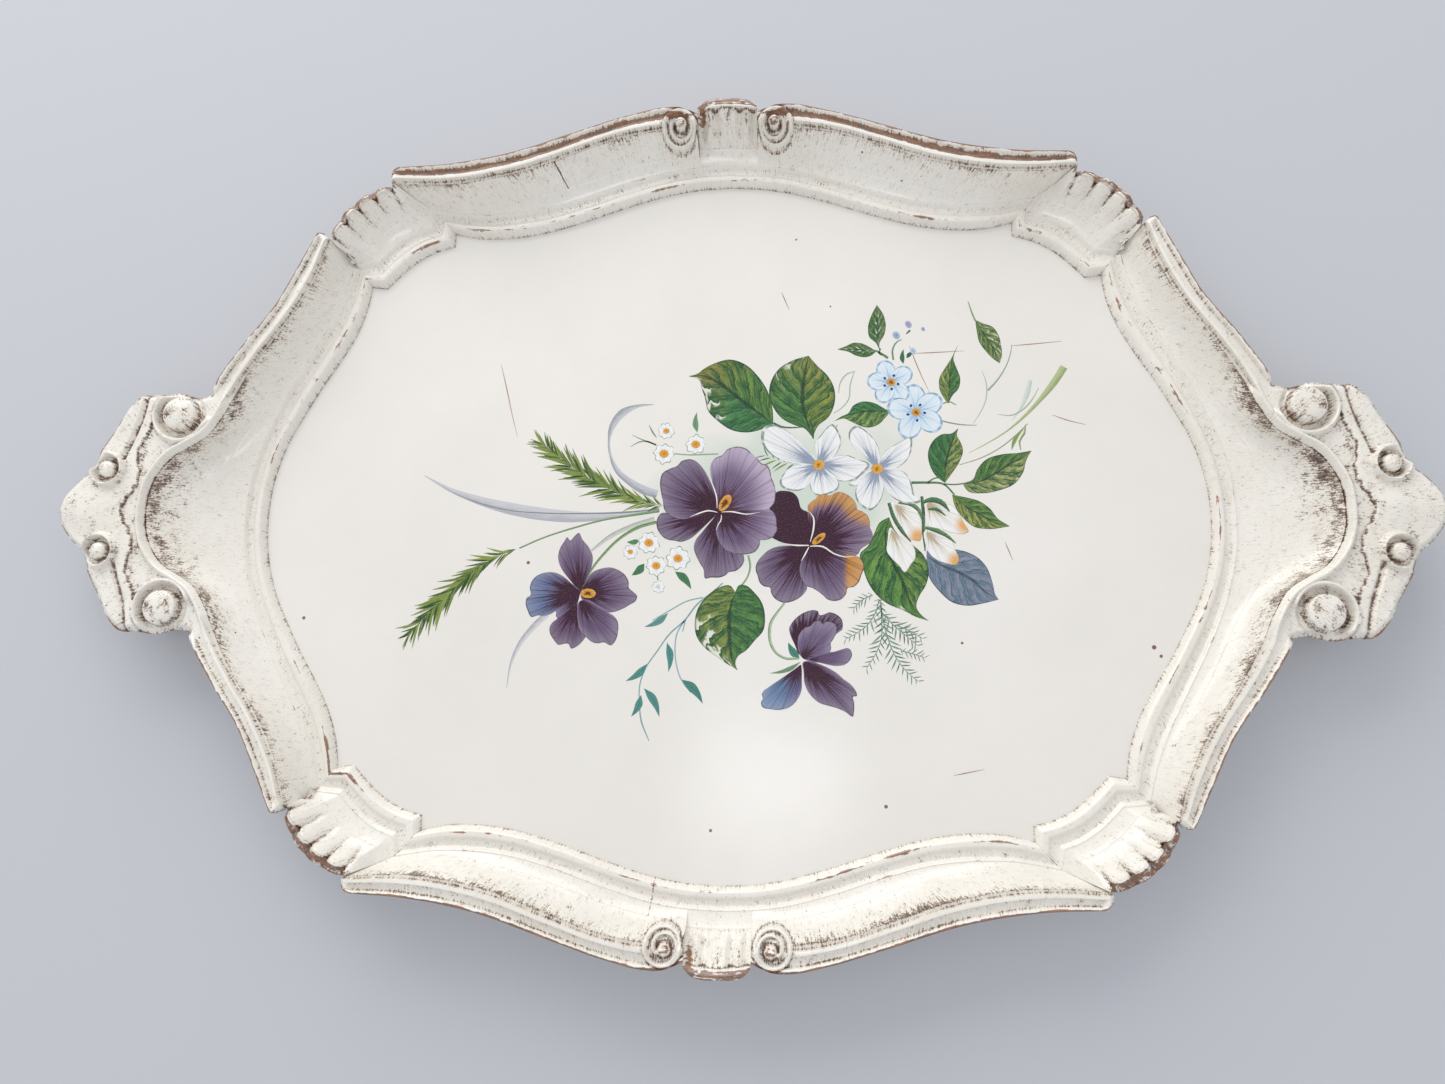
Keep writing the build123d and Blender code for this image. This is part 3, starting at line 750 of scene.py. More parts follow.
for centre, radius, eye in (((-23.3, 34), 3.4, 1.1), ((-24, 25), 4.3, 1.6), ((-11.8, 28.6), 4.1, 1.5),
                            ((-29, -9.8), 4.4, 1.5), ((-26, -18.6), 4.1, 1.4), ((-17.8, -15.8), 4.8, 1.5),
                            ((-36, -13.3), 3, 0.9), ((-25, -26.6), 2.6, 0)):
    angle = np.linspace(0, 2 * np.pi, 32, endpoint=False)
    lobes = radius * (0.9 + 0.1 * np.cos(angle * 8 + centre[0]) + 0.04 * np.sin(angle * 3 + centre[1]))
    outline = list(zip(centre[0] + lobes * np.cos(angle), centre[1] + lobes * np.sin(angle)))
    films.append(fan_film(outline, centre, 12, deep="#B4BCC4", pale=WHITE, core=0.26, line=0.9,
                          edge="#6E8A6C"))
    if eye:
        films += yellow_eye(centre, (eye, eye * 1.15), 80, 13, deep="#B06A1E", core=0.2)
for middle, radius, ink in (((70, 76), 1.2, "#A9A6C8"), ((65.3, 71.6), 1.3, "#9DB4D0"),
                            ((71.6, 65.2), 1.1, "#B8CBE0"), ((75.6, 74), 0.7, "#A9A6C8")):
    films.append(fan_film(disc(middle, (radius, radius * 1.3), 30, 8), middle, 9, rings=4, deep="#6F7FA8",
                          pale=ink, core=0.2, edge="#7F8DB0"))
film_piece("print_small_flowers", films, PETAL_INK)


def leaf_ink():
    """Printed leaves: two greens brushed along the side veins, dark near the midrib and lighter out
    towards the edge, with streaks of bare enamel where the light falls."""
    ink = Ink("printed_leaf_ink")
    print_at = ink.follow("print")
    parts = ink.node("ShaderNodeSeparateXYZ", [("Vector", print_at)])
    along, across = parts.outputs["X"], ink.maths("ABSOLUTE", parts.outputs["Y"])
    loose = ink.noise(ink.stretched(print_at, (7, 3, 1)), 1.0, 3.0)
    slant = ink.minus(along, ink.times(ink.maths("POWER", across, 0.8), 0.3))
    wave = ink.maths("FRACT", ink.plus(ink.times(slant, 6.0), ink.times(loose, 1.1)))
    brushed = ink.node("ShaderNodeCombineXYZ", [("X", slant), ("Y", across)]).outputs[0]
    fine = ink.noise(ink.stretched(brushed, (46, 2.2, 1)), 1.0, 3.0, 0.6)
    light = ink.plus(ink.times(wave, 0.4), ink.times(loose, 0.6))
    light = ink.plus(light, ink.times(ink.minus(fine, 0.5), 1.7))
    green = ink.mix(ink.step(light, 0.2, 0.95), ink.colour("deep"), ink.colour("pale"))
    vein = ink.times(ink.minus(1.0, ink.step(wave, 0.02, 0.09)), 0.7)
    veined = ink.mix(vein, green, ink.colour("edge"))
    bare = ink.plus(ink.value("bare"), ink.times(ink.minus(wave, 0.5), 0.7))
    bare = ink.plus(bare, ink.times(ink.minus(loose, 0.5), 1.1))
    lit = ink.mix(ink.times(ink.step(bare, 0.55, 0.8), 0.85), veined, "#EDEDE4")
    rib = ink.minus(1.0, ink.step(across, 0.03, 0.09))
    rim = ink.times(ink.step(across, 0.93, 0.98), 0.7)
    ribbed = ink.mix(ink.maths("MAXIMUM", ink.times(rib, 0.85), rim), lit, ink.colour("edge"))
    grain = ink.noise(ink.place(), 2600.0, 1.0)
    printed = ink.mix(ink.times(ink.step(grain, 0.55, 0.75), 0.14), ribbed, "#F2EFEA")
    return ink.varnished(printed, ink.noise(ink.place(), 45.0, 3.0))


LEAF_INK = leaf_ink()
GREEN, DARK = "#24562F", "#163A24"


def two_tone(first, second, third=None):
    """Inks for the two halves of a leaf, and a third towards its tip."""
    def colour(x, y, uv):
        halves = blend_of(first, second, uv[:, 1] * 4 + 0.5)
        if third is None:
            return halves
        tip = np.clip(uv[:, 0] * 2 - 0.9, 0, 1)[:, None]
        return halves + (np.array(linear(third)) - halves) * tip * 0.8
    return colour


def leaf(level, base, tip, left, rib, right, **inks):
    """One leaf from its base to its tip: the points between them on its left edge, midrib and right edge."""
    lines = {"left": left, "rib": rib, "right": right}
    return dict(level=level, **{side: [base, *line, tip] for side, line in lines.items()}, **inks)


leaves = [
    leaf(6, (18, 36.5), (-15, 56),
         [(17.6, 43), (16, 49), (12.5, 55), (7, 60.5), (1, 62.6), (-4, 61.5), (-9, 59), (-11.5, 57)],
         [(12, 41.2), (6, 45.8), (1, 50), (-4, 53.7), (-9, 56)],
         [(14, 34.6), (8, 33.2), (2, 34.2), (-3, 37.5), (-7.5, 42.5), (-8.6, 47.5), (-10, 51.5),
          (-10.5, 54)],
         pale=two_tone("#6C8F42", "#4F8A52", "#B08A3C"),
         bare=lambda x, y, uv: np.clip(uv[:, 1] * 1.2, 0, 1) * np.clip(uv[:, 0] * 2.2 - 0.7, 0, 0.75)),
    leaf(7, (33, 31), (31.5, 63.8),
         [(30, 34.5), (26, 36), (21.5, 38.5), (18, 43), (16.3, 48.5), (17, 53.5), (20, 58.5), (25, 61.8)],
         [(31, 37), (29.3, 43), (29.2, 49), (29.9, 55)],
         [(35, 35.5), (39, 39), (41, 43), (41.7, 47.5), (41, 51.5), (38.5, 56), (35, 59.5)],
         pale=two_tone("#5A8A48", "#8A9640", "#A8A050"),
         bare=lambda x, y, uv: np.clip(-uv[:, 1], 0, 1) * np.clip(uv[:, 0] * 1.6 - 0.6, 0, 0.5)),
    leaf(6, (62.5, 41), (41.2, 37.4),
         [(60, 42.5), (56.5, 44.5), (51.5, 45), (48.5, 43.5), (46.5, 40.5), (44, 39.3)],
         [(57, 41.3), (52, 41.2), (47.5, 40), (44.5, 38.9)],
         [(60.5, 38.5), (58, 36), (54, 34.8), (50, 36), (47.5, 37.3), (45, 38.4)],
         pale=two_tone("#4E8A4E", "#8FA95E")),
    leaf(6, (4, -28.5), (5.2, -57.7),
         [(2, -26), (-2, -26.8), (-6.5, -30), (-9.8, -34.5), (-11, -39.5), (-10.3, -45), (-7, -49.5),
          (-3, -52.4), (0.5, -54.8)],
         [(2.5, -33.5), (1.8, -38.5), (2, -44), (2.5, -50), (3.2, -54)],
         [(5.5, -25.8), (8, -26), (11, -28.5), (14, -32.5), (15.2, -38), (14.5, -43), (11.5, -46.5),
          (8, -50.5), (5.2, -52.5), (4.3, -55)],
         pale=two_tone("#8E9A48", "#5A8A46"),
         bare=lambda x, y, uv: np.clip(-uv[:, 1] * 1.4, 0, 1) * np.clip(uv[:, 0] * 2 - 0.5, 0, 0.7)),
    leaf(6, (61.5, 0), (75.5, -39),
         [(58, -2), (56, -6), (53.5, -11), (50.5, -14), (51.5, -19), (53.5, -25), (57, -30), (61, -33),
          (66, -35), (70.5, -37.4)],
         [(60, -6), (60.5, -12), (63, -18), (66, -24), (68, -30), (70.5, -35)],
         [(63, -4), (66, -8), (70.5, -11), (74, -14.5), (75.8, -20), (74.5, -26), (72, -30), (71, -34),
          (72.5, -36.5)],
         pale=two_tone("#6C9A44", "#7A9A48"),
         bare=lambda x, y, uv: np.clip(-uv[:, 1], 0, 1) * np.clip(uv[:, 0] * 2 - 1.1, 0, 0.5)),
    dict(level=5, left=[(75, -13), (80, -11.5), (86, -12.3), (90, -13.3), (94, -15.5), (97, -19), (99, -25),
                        (100, -29.5), (101, -31)],
         rib=[(75, -14.5), (80, -18), (86, -20.5), (92, -24), (96, -28), (101, -31)],
         right=[(75, -16), (76, -23), (79.5, -28), (84, -32), (90, -33.3), (95, -32.5), (101, -31)],
         pale="#8E8FA6", deep="#56707E", edge="#2F4A56"),
    leaf(6, (82.5, 13), (88, 34.3),
         [(79, 16), (77, 20), (76.5, 25), (78.5, 29.5), (82, 32), (85.5, 32.3)],
         [(83, 20), (84.5, 26), (86.5, 31)],
         [(85, 16.5), (88, 21), (89.5, 26), (88.6, 29), (87.4, 31.5)],
         pale=two_tone("#4A8148", "#A9AE62")),
    leaf(6, (89, 12.8), (115, 25.4),
         [(93, 14.5), (94.5, 18), (98, 22), (104, 24), (110, 24.5)],
         [(95, 13.5), (101, 16.5), (107, 20.5), (112, 23)],
         [(91, 9.8), (96, 9), (102, 10), (108, 12.5), (111.5, 17), (113, 22)],
         pale=two_tone("#6E8F4A", "#B4B877"), bare=lambda x, y, uv: np.clip(uv[:, 1], 0, 1) * 0.3),
    leaf(6, (85, 8.5), (106, -3.6),
         [(90, 7.5), (95, 6), (99, 3), (101.5, -0.5)],
         [(90, 4), (96, 0.5), (101, -2.5)],
         [(86, 4), (89, -0.5), (93, -3.8), (98, -4.6)],
         pale=two_tone("#7C9A4A", "#B0B25E")),
    leaf(6, (59, 65), (58, 84.2),
         [(57.5, 68.5), (55, 71), (54.5, 75), (55.5, 79)],
         [(58.3, 72)],
         [(58.8, 68.5), (60.5, 71.5), (61.3, 75.5), (60.5, 80)],
         pale=two_tone("#6B8A50", "#8E9A68"),
         bare=lambda x, y, uv: 0.35 * (np.abs(uv[:, 1]) < 0.5)),
    leaf(6, (57.5, 65.3), (42.5, 66.2),
         [(56, 63.8), (54, 63), (50, 63.5), (47, 65.1)],
         [(50, 66)],
         [(55, 67), (52, 68.5), (48.5, 68.7), (46, 67.5)],
         pale=two_tone("#5E8048", "#7F9450"),
         bare=lambda x, y, uv: 0.4 * (np.abs(uv[:, 1]) < 0.5)),
    leaf(6, (84.5, 44), (88.7, 67.5),
         [(83, 46), (81.3, 50), (81.5, 54.5), (83.5, 58), (85.7, 61.5)],
         [(85, 50), (85.5, 56), (86.3, 61.5)],
         [(86, 47), (88.5, 50), (89.2, 54), (88, 58), (86.9, 61.5)],
         pale=two_tone("#A3AC5C", "#5F8A48")),
    leaf(6, (95.5, 77.5), (104.3, 59.8),
         [(96, 73), (97, 68), (99, 65), (101.5, 62)],
         [(99, 71), (102, 66)],
         [(98.5, 76), (102, 74.5), (104, 71.5), (105, 67), (105.2, 63)],
         pale=two_tone("#8E9A58", "#A9B272"),
         bare=lambda x, y, uv: 0.35 * (uv[:, 1] > 0)),
]
small_leaves = [  # base, tip, widest, ink
    ((-21, -36.5), (-30, -41.8), 2.4, "#5E958F"), ((-21.3, -47.5), (-20.5, -58.5), 2.6, "#4B8C86"),
    ((-28.5, -55.5), (-36.5, -62), 2.6, "#4B8C86"), ((-15.5, -61.2), (-7.5, -70), 3.2, "#3F8478"),
    ((-30.5, -67), (-34, -75), 2.6, "#4B8C86"), ((-29.5, -64.5), (-23.5, -75), 2.9, "#4B8C86"),
    ((-18.8, -20.8), (-12.5, -27.5), 3, "#3F7A4A"), ((-30.5, -17.8), (-35.3, -22.3), 3, "#3F7A4A"),
    ((-32.5, -8.8), (-37.5, -9.5), 2, "#4E8A55"), ((-11.2, 33.3), (-11.5, 41.5), 2.2, "#6F9A70"),
    ((28, -53), (23.8, -47.2), 2.8, "#3F8470"), ((28.5, -54.3), (17, -58.6), 1.6, "#6E9470"),
    ((67.8, 60), (68, 66), 1.8, "#3F6B4A"), ((69, 62.3), (72, 65), 1.6, "#3A5A50"),
    ((107.5, 25.5), (112.5, 34), 1.4, "#8CA05A"),
]
films = []
for shape in leaves:
    films.append(strip_film(**{"deep": GREEN, "edge": DARK, **shape}))
for base, tip, widest, colour in small_leaves:
    along, across = np.subtract(tip, base), np.array([base[1] - tip[1], tip[0] - base[0]])
    across = across / np.linalg.norm(across)
    bowed = [np.array(base) + along * t + across * 0.09 * np.linalg.norm(along) * math.sin(math.pi * t)
             for t in (0, 0.35, 0.7, 1)]
    edges = [[tuple(p + sign * across * widest * w) for p, w in zip(bowed, (0, 0.5, 0.32, 0))]
             for sign in (1, -1)]
    films.append(strip_film(edges[0], [tuple(p) for p in bowed], edges[1], 7, rows=16, columns=3,
                            pale=colour, deep=colour, edge="#1F4A42"))
film_piece("print_leaves", films, LEAF_INK)


def line_ink():
    """Printed stems and grasses: one soft ink, a little darker along one edge and broken by the print."""
    ink = Ink("printed_stem_ink")
    print_at = ink.follow("print")
    across = ink.node("ShaderNodeSeparateXYZ", [("Vector", print_at)]).outputs["Y"]
    fibre = ink.noise(ink.stretched(print_at, (14, 2.5, 1)), 1.0, 3.0, 0.6)
    tone = ink.plus(ink.times(across, 0.35), fibre)
    inked = ink.mix(ink.step(tone, 0.3, 0.8), ink.colour("pale"), ink.colour("deep"))
    grain = ink.noise(ink.place(), 2600.0, 1.0)
    printed = ink.mix(ink.times(ink.step(grain, 0.5, 0.75), 0.25), inked, "#F2EFEA")
    return ink.varnished(printed, ink.noise(ink.place(), 45.0, 3.0))


LINE_INK = line_ink()
STEM = ("#7F9A72", "#5C7F56")
DEEP_STEM = ("#4F7A50", "#2F5A3C")
TEAL_STEM = ("#8FB2B4", "#5C8E92")
SEPAL = ("#4C7A4A", "#234A30")
SOFT_STEM = ("#8FA887", "#6B8A66")
FAINT_STEM = ("#B4C4B0", "#8EA68C")
TWIG = ("#6B8A5A", "#41603A")
stems = [  # route, widths, pale and deep ink, level
    ([(-118, 17), (-106, 10.6), (-96, 7), (-84, 3.8), (-72, 1.6), (-60, 0.4), (-48, 0.4), (-36, 1.4),
      (-25, 3)], [0.2, 1.6, 3.2, 4.6, 5, 4.6, 3.2, 1.8, 1],
     "#CACACE", "#B0B0B8", 1),
    ([(-106, 10), (-96, 6), (-84, 3), (-70, 1.8), (-52, 1.6), (-36, 2.2), (-25, 3.4)],
     [0.1, 0.5, 0.4, 0.5, 0.5, 0.7, 0.5], "#8E8E96", "#77777F", 2),
    ([(-28, 44.7), (-35, 44), (-41, 41), (-44.4, 36), (-45.5, 30), (-44.6, 24), (-42, 18.5), (-37, 14),
      (-31, 10.5), (-26, 9)],
     [0.2, 1.2, 3.2, 2.6, 0.9, 0.9, 2, 2.6, 3.4, 3], "#C2C3CA", "#9B9CA6", 1),
    ([(-67, -37), (-72, -42), (-77, -48.5), (-80, -56), (-81.2, -65)], [2.6, 2.2, 1.6, 0.8, 0.2], "#CFCFD2",
     "#A9AAB0", 1),
    ([(-27, -0.5), (-36, -3.5), (-44, -7.5), (-51, -13)], [1.6, 1.8, 1.8, 0.8], "#C8CCC4", "#A9B0A4", 1),
    ([(-26, -1.8), (-33, -3.8), (-40, -8), (-46, -14), (-50.8, -20.5), (-53.5, -26)],
     [1.2, 1.3, 1.1, 1, 0.9, 0.7], "#86A36A", "#4F7545", 3),
    ([(-79, -12), (-70, -8), (-58, -4), (-45, -0.6), (-35, 1), (-25, 2.6)], [0.6, 0.6, 0.7, 0.7, 0.9, 1.2],
     *STEM, 3),
    ([(22.5, -32.6), (19.5, -36.5), (17.4, -40), (16.9, -44), (17.5, -48), (19.3, -51), (22.3, -52.9),
      (28, -53)], [0.8, 0.9, 1.2, 1.2, 1.1, 1, 1, 0.8],
     "#B3C4A8", "#6E8E68", 3),
    ([(8.8, -14.5), (9.6, -19), (8.5, -23), (6, -26.5), (4, -28.8)], [0.8, 0.8, 0.7, 0.7, 0.6], "#9DB592",
     "#5F8158", 5),
    ([(-0.5, -25), (-5, -29), (-10, -33), (-15, -39.5), (-20, -44), (-25, -51), (-29, -57), (-31, -63),
      (-31, -70), (-30.3, -76), (-27, -84)],
     [0.5, 0.6, 0.6, 0.6, 0.55, 0.5, 0.5, 0.45, 0.45, 0.6, 0.3], *TEAL_STEM, 3),
    ([(-8, -30.6), (-14, -32), (-20, -35.3), (-27, -39.4)], [0.5, 0.5, 0.5, 0.3], "#9CB9B8", "#6B9696", 3),
    ([(-15, -39.5), (-17.5, -44), (-18.2, -50), (-17.5, -56), (-15.5, -61.5), (-12, -66)],
     [0.5, 0.5, 0.45, 0.45, 0.5, 0.3], "#9CB9C0", "#6B96A0", 3),
    ([(-14.5, -39), (-15.5, -43.5)], [0.5, 0.3], *TEAL_STEM, 3),
    ([(18, 36.9), (21, 35.4), (25, 35), (29, 35.2)], [0.9, 0.7, 0.6, 0.4], "#3F6B46", "#22452E", 8),
    ([(33.2, 30.5), (33, 34), (32, 38)], [0.5, 1.1, 0.4], "#2F5A3A", "#1E4530", 8),
    ([(-27, 28.3), (-31, 30), (-34, 29.6), (-37, 27.8)], [0.6, 0.6, 0.5, 0.2], *SOFT_STEM, 3),
    ([(-36.5, 32.5), (-32, 30.4), (-27, 28.6)], [0.2, 0.5, 0.5], *SOFT_STEM, 3),
    ([(-30, 36.4), (-28.5, 33.5), (-27, 31.4)], [0.2, 0.7, 0.3], *STEM, 3),
    ([(-20, 25), (-15, 24.5), (-9, 24.6), (-3, 24.8)], [0.5, 0.5, 0.6, 0.5], "#9DB09A", "#708C6C", 3),
    ([(-25.3, -24), (-25.5, -21)], [0.5, 0.5], *STEM, 3),
    ([(70, 13.2), (76, 13.2), (82, 12.6), (86, 8.4)], [1, 0.9, 0.7, 0.6], *DEEP_STEM, 5),
    ([(76, 13.2), (79, 15), (82.3, 14.8)], [0.6, 0.6, 0.3], "#6F9060", "#41704A", 5),
    ([(82, 12.7), (86, 12.4), (90, 12.9)], [0.5, 0.5, 0.5], *DEEP_STEM, 5),
    ([(73.8, 8), (74.2, 2), (74.2, -5), (74.6, -13)], [1.1, 1.3, 1.2, 0.4], "#4F7A50", "#24482F", 13),
    ([(61.5, 5.5), (63.2, 0), (66, -5), (69.5, -9.5)], [1.2, 1.5, 1.5, 0.4], *SEPAL, 16),
    ([(65, 5.4), (69, 5.2), (72.6, 2.6), (73.6, -1)], [0.8, 1.8, 1.5, 0.3], "#6B8F55", "#2F5A3C", 16),
    ([(74, 5.5), (77, 6.6), (81, 5.6), (84, 2)], [1, 2.2, 2, 0.3], *SEPAL, 16),
    ([(76, 3), (79, 3), (82.5, 0.4)], [0.8, 1.4, 0.3], *SEPAL, 17),
    ([(74.8, -4), (79, -5.2), (82.5, -7), (86, -10)], [1, 1.8, 1.4, 0.3], "#5C8650", "#2A5236", 16),
    ([(62, 62.4), (59.8, 64), (57.4, 65.4), (54, 66)], [1, 0.9, 0.7, 0.4], *TWIG, 7),
    ([(59.2, 66.4), (58.7, 64.2), (59.8, 63.6)], [0.5, 0.6, 0.4], *TWIG, 7),
    ([(64, 61.6), (63.8, 66), (65.5, 69), (67.4, 69.9)], [0.7, 0.7, 0.6, 0.3], "#7C9A78", "#54755A", 5),
    ([(69, 72), (70.6, 73.6)], [0.3, 1], "#5A6F68", "#3F5A50", 5),
    ([(93, 85), (94.3, 80.6), (95.6, 77)], [0.3, 0.6, 0.7], "#93A383", "#6F8562", 5),
    ([(42.5, 36), (40, 32), (38, 30)], [0.4, 0.5, 0.3], "#A9BBA6", "#84A084", 5),
    ([(49.5, 57.3), (46, 56), (43.6, 52.5), (43, 48.5)], [0.3, 0.6, 0.5, 0.3], *FAINT_STEM, 2),
    ([(49, 57), (47.5, 52), (46.8, 46), (44, 42.5), (41, 40.5)], [0.3, 0.5, 0.5, 0.5, 0.3], *FAINT_STEM, 2),
    ([(82, 37.2), (85, 36.4), (90, 35.6), (95, 35.4)], [0.5, 0.5, 0.4, 0.2], "#7F9A88", "#5C7F6A", 5),
    ([(82.5, 44), (84.6, 44.8), (87.5, 43.4)], [0.5, 0.5, 0.3], "#7C9A68", "#54754A", 5),
    ([(91.5, 24.5), (98, 28), (106, 33), (113, 39), (119.5, 46), (125, 53), (128.4, 58.3)],
     [0.2, 0.4, 0.6, 1, 1.6, 2.6, 2.9], "#B3C08E", "#93A468", 3),
    ([(88, 20), (96, 22.6), (104, 27), (110, 32), (114, 36)], [0.3, 0.4, 0.4, 0.5, 0.3], "#9BAA90",
     "#72886A", 3),
    ([(103, 39.6), (108, 39.2), (112.5, 41.6), (116, 45.5), (118.5, 50)], [0.2, 0.5, 0.6, 0.5, 0.2],
     "#B7C4B0", "#8EA088", 2),
    ([(108, 37), (111.5, 42), (114, 47.5), (115.5, 53)], [0.2, 1, 2, 1.6], "#D3DCD2", "#BCCABC", 1),
    ([(99.4, 49), (103, 53), (106.5, 58.5), (108.6, 64.5), (109, 67.2)], [0.8, 0.6, 0.5, 0.4, 0.3],
     "#A3B29A", "#7E947C", 3),
    ([(97.5, 57), (99, 52), (98.8, 46), (96.5, 40.5), (93.5, 36)], [0.2, 0.5, 0.5, 0.4, 0.2], "#BFCAC0",
     "#9BAE9E", 2),
    ([(111, 25.5), (110.6, 29), (112.6, 32.4), (113, 35.5)], [0.3, 0.8, 0.9, 0.3], "#9DB07A", "#6F8A50", 4),
]
films = [line_film(route, widths, level, pale=pale, deep=deep)
         for route, widths, pale, deep, level in stems]

# Scratches through the varnish, with old dirt in them
scratches = [[(-89.5, 62), (-86.8, 52), (-83.5, 39), (-81.5, 32)], [(71.5, 64.2), (80, 64.5), (91, 65)],
             [(70.2, 67.3), (73.5, 58), (77.5, 48.5)], [(109, 66.8), (118, 67.5), (128, 68.4)],
             [(123, 39.3), (129, 37), (135.5, 35.3)], [(21, 90), (24, 82.6)], [(83, -94.5), (94, -92.2)],
             [(104, -9.5), (106.6, -16.3)]]
for route in scratches:
    films.append(line_film(route, [0.12, 0.42, 0.3, 0.1], 8, pale="#B99A80", deep="#8E6A4E"))
film_piece("print_stems", films, LINE_INK)


def spray_tree(material):
    """A spray of narrow blades along a curve, leaning out to both sides by turns."""
    tree = bpy.data.node_groups.new("spray_of_blades", "GeometryNodeTree")
    sockets = tree.interface
    sockets.new_socket("Spine", in_out="INPUT", socket_type="NodeSocketGeometry")
    for key, kind in (("Blades", "NodeSocketInt"), ("Length", "NodeSocketFloat"),
                      ("Width", "NodeSocketFloat"), ("Lean", "NodeSocketFloat"),
                      ("Scatter", "NodeSocketFloat"), ("End size", "NodeSocketFloat"),
                      ("Film", "NodeSocketFloat"), ("Seed", "NodeSocketInt")):
        sockets.new_socket(key, in_out="INPUT", socket_type=kind)
    sockets.new_socket("Spray", in_out="OUTPUT", socket_type="NodeSocketGeometry")

    def node(kind, links=(), **settings):
        made = tree.nodes.new(kind)
        for key, value in settings.items():
            setattr(made, key, value)
        for key, source in links:
            if isinstance(source, (int, float, str, tuple)):
                made.inputs[key].default_value = source
            else:
                tree.links.new(source, made.inputs[key])
        return made

    def maths(operation, a, b=0.0):
        return node("ShaderNodeMath", [(0, a), (1, b)], operation=operation).outputs[0]

    def times(a, b):
        return maths("MULTIPLY", a, b)

    def plus(a, b):
        return maths("ADD", a, b)

    given = node("NodeGroupInput").outputs
    grid = node("GeometryNodeMeshGrid",
                [("Size X", 1.0), ("Size Y", 1.0), ("Vertices X", 9), ("Vertices Y", 3)])
    place = node("ShaderNodeSeparateXYZ",
                 [("Vector", node("GeometryNodeInputPosition").outputs[0])]).outputs
    along = plus(place["X"], 0.5)
    belly = maths("SINE", times(maths("POWER", plus(times(along, 0.97), 0.015), 0.8), math.pi))
    bow = times(times(along, along), 0.12)
    wide = plus(times(times(place["Y"], belly), given["Width"]), bow)
    shaped = node("ShaderNodeCombineXYZ", [("X", along), ("Y", wide)])
    blade = node("GeometryNodeSetPosition",
                 [("Geometry", grid.outputs["Mesh"]), ("Position", shaped.outputs[0])])
    drop = node("ShaderNodeCombineXYZ", [("Z", times(given["Film"], -1.0))])
    raised = node("GeometryNodeExtrudeMesh",
                  [("Mesh", blade.outputs[0]), ("Offset", drop.outputs[0]), ("Offset Scale", 1.0),
                   ("Individual", False)])
    both = node("GeometryNodeJoinGeometry")
    tree.links.new(raised.outputs["Mesh"], both.inputs[0])
    tree.links.new(node("GeometryNodeFlipFaces", [("Mesh", blade.outputs[0])]).outputs[0], both.inputs[0])
    closed = node("GeometryNodeMergeByDistance", [("Geometry", both.outputs[0]), ("Distance", 0.000001)])
    points = node("GeometryNodeCurveToPoints", [("Curve", given["Spine"]), ("Count", given["Blades"])],
                  mode="COUNT")
    index = node("GeometryNodeInputIndex").outputs[0]
    share = maths("DIVIDE", index, maths("SUBTRACT", given["Blades"], 1.0))
    lift = node("ShaderNodeCombineXYZ", [("Z", times(index, INK_STEP * MM * 0.25))])
    stacked = node("GeometryNodeSetPosition",
                   [("Geometry", points.outputs["Points"]), ("Offset", lift.outputs[0])])
    keep = node("GeometryNodeStoreNamedAttribute",
                [("Geometry", stacked.outputs[0]), ("Name", "heading"),
                 ("Value", points.outputs["Tangent"])],
                data_type="FLOAT_VECTOR", domain="POINT")
    held = node("GeometryNodeInputNamedAttribute", [("Name", "heading")], data_type="FLOAT_VECTOR")
    ahead = node("ShaderNodeSeparateXYZ", [("Vector", held.outputs[0])]).outputs
    side = maths("SUBTRACT", times(maths("MODULO", index, 2.0), 2.0), 1.0)
    chance = node("FunctionNodeRandomValue", [("Seed", given["Seed"])], data_type="FLOAT").outputs[1]
    other = node("FunctionNodeRandomValue", [("Seed", plus(given["Seed"], 7.0))],
                 data_type="FLOAT").outputs[1]
    lean = times(side, plus(given["Lean"], times(maths("SUBTRACT", chance, 0.5), given["Scatter"])))
    heading = plus(maths("ARCTAN2", ahead["Y"], ahead["X"]), lean)
    turn = node("FunctionNodeEulerToRotation",
                [(0, node("ShaderNodeCombineXYZ", [("Z", heading)]).outputs[0])])
    swell = plus(given["End size"],
                 times(maths("SINE", times(share, math.pi)), maths("SUBTRACT", 1.0, given["End size"])))
    size = times(times(given["Length"], swell), plus(0.75, times(other, 0.5)))
    scale = node("ShaderNodeCombineXYZ", [("X", size), ("Y", times(side, size)), ("Z", 1.0)])
    placed = node("GeometryNodeInstanceOnPoints",
                  [("Points", keep.outputs[0]), ("Instance", closed.outputs[0]),
                   ("Rotation", turn.outputs[0]), ("Scale", scale.outputs[0])])
    toned = node("GeometryNodeStoreNamedAttribute",
                 [("Geometry", placed.outputs[0]), ("Name", "tone"), ("Value", other)], data_type="FLOAT",
                 domain="INSTANCE")
    real = node("GeometryNodeRealizeInstances", [("Geometry", toned.outputs[0])])
    painted = node("GeometryNodeSetMaterial", [("Geometry", real.outputs[0])])
    painted.inputs["Material"].default_value = material
    tree.links.new(painted.outputs[0], node("NodeGroupOutput").inputs[0])
    return tree


def blade_ink(name, pale, deep):
    """Printed blades: each a little lighter or darker than the next."""
    ink = Ink(name)
    grain = ink.noise(ink.place(), 1500.0, 2.0)
    tone = ink.plus(ink.value("tone"), ink.times(ink.minus(grain, 0.5), 0.8))
    return ink.varnished(ink.mix(ink.step(tone, 0.1, 0.9), deep, pale), ink.noise(ink.place(), 45.0, 3.0))


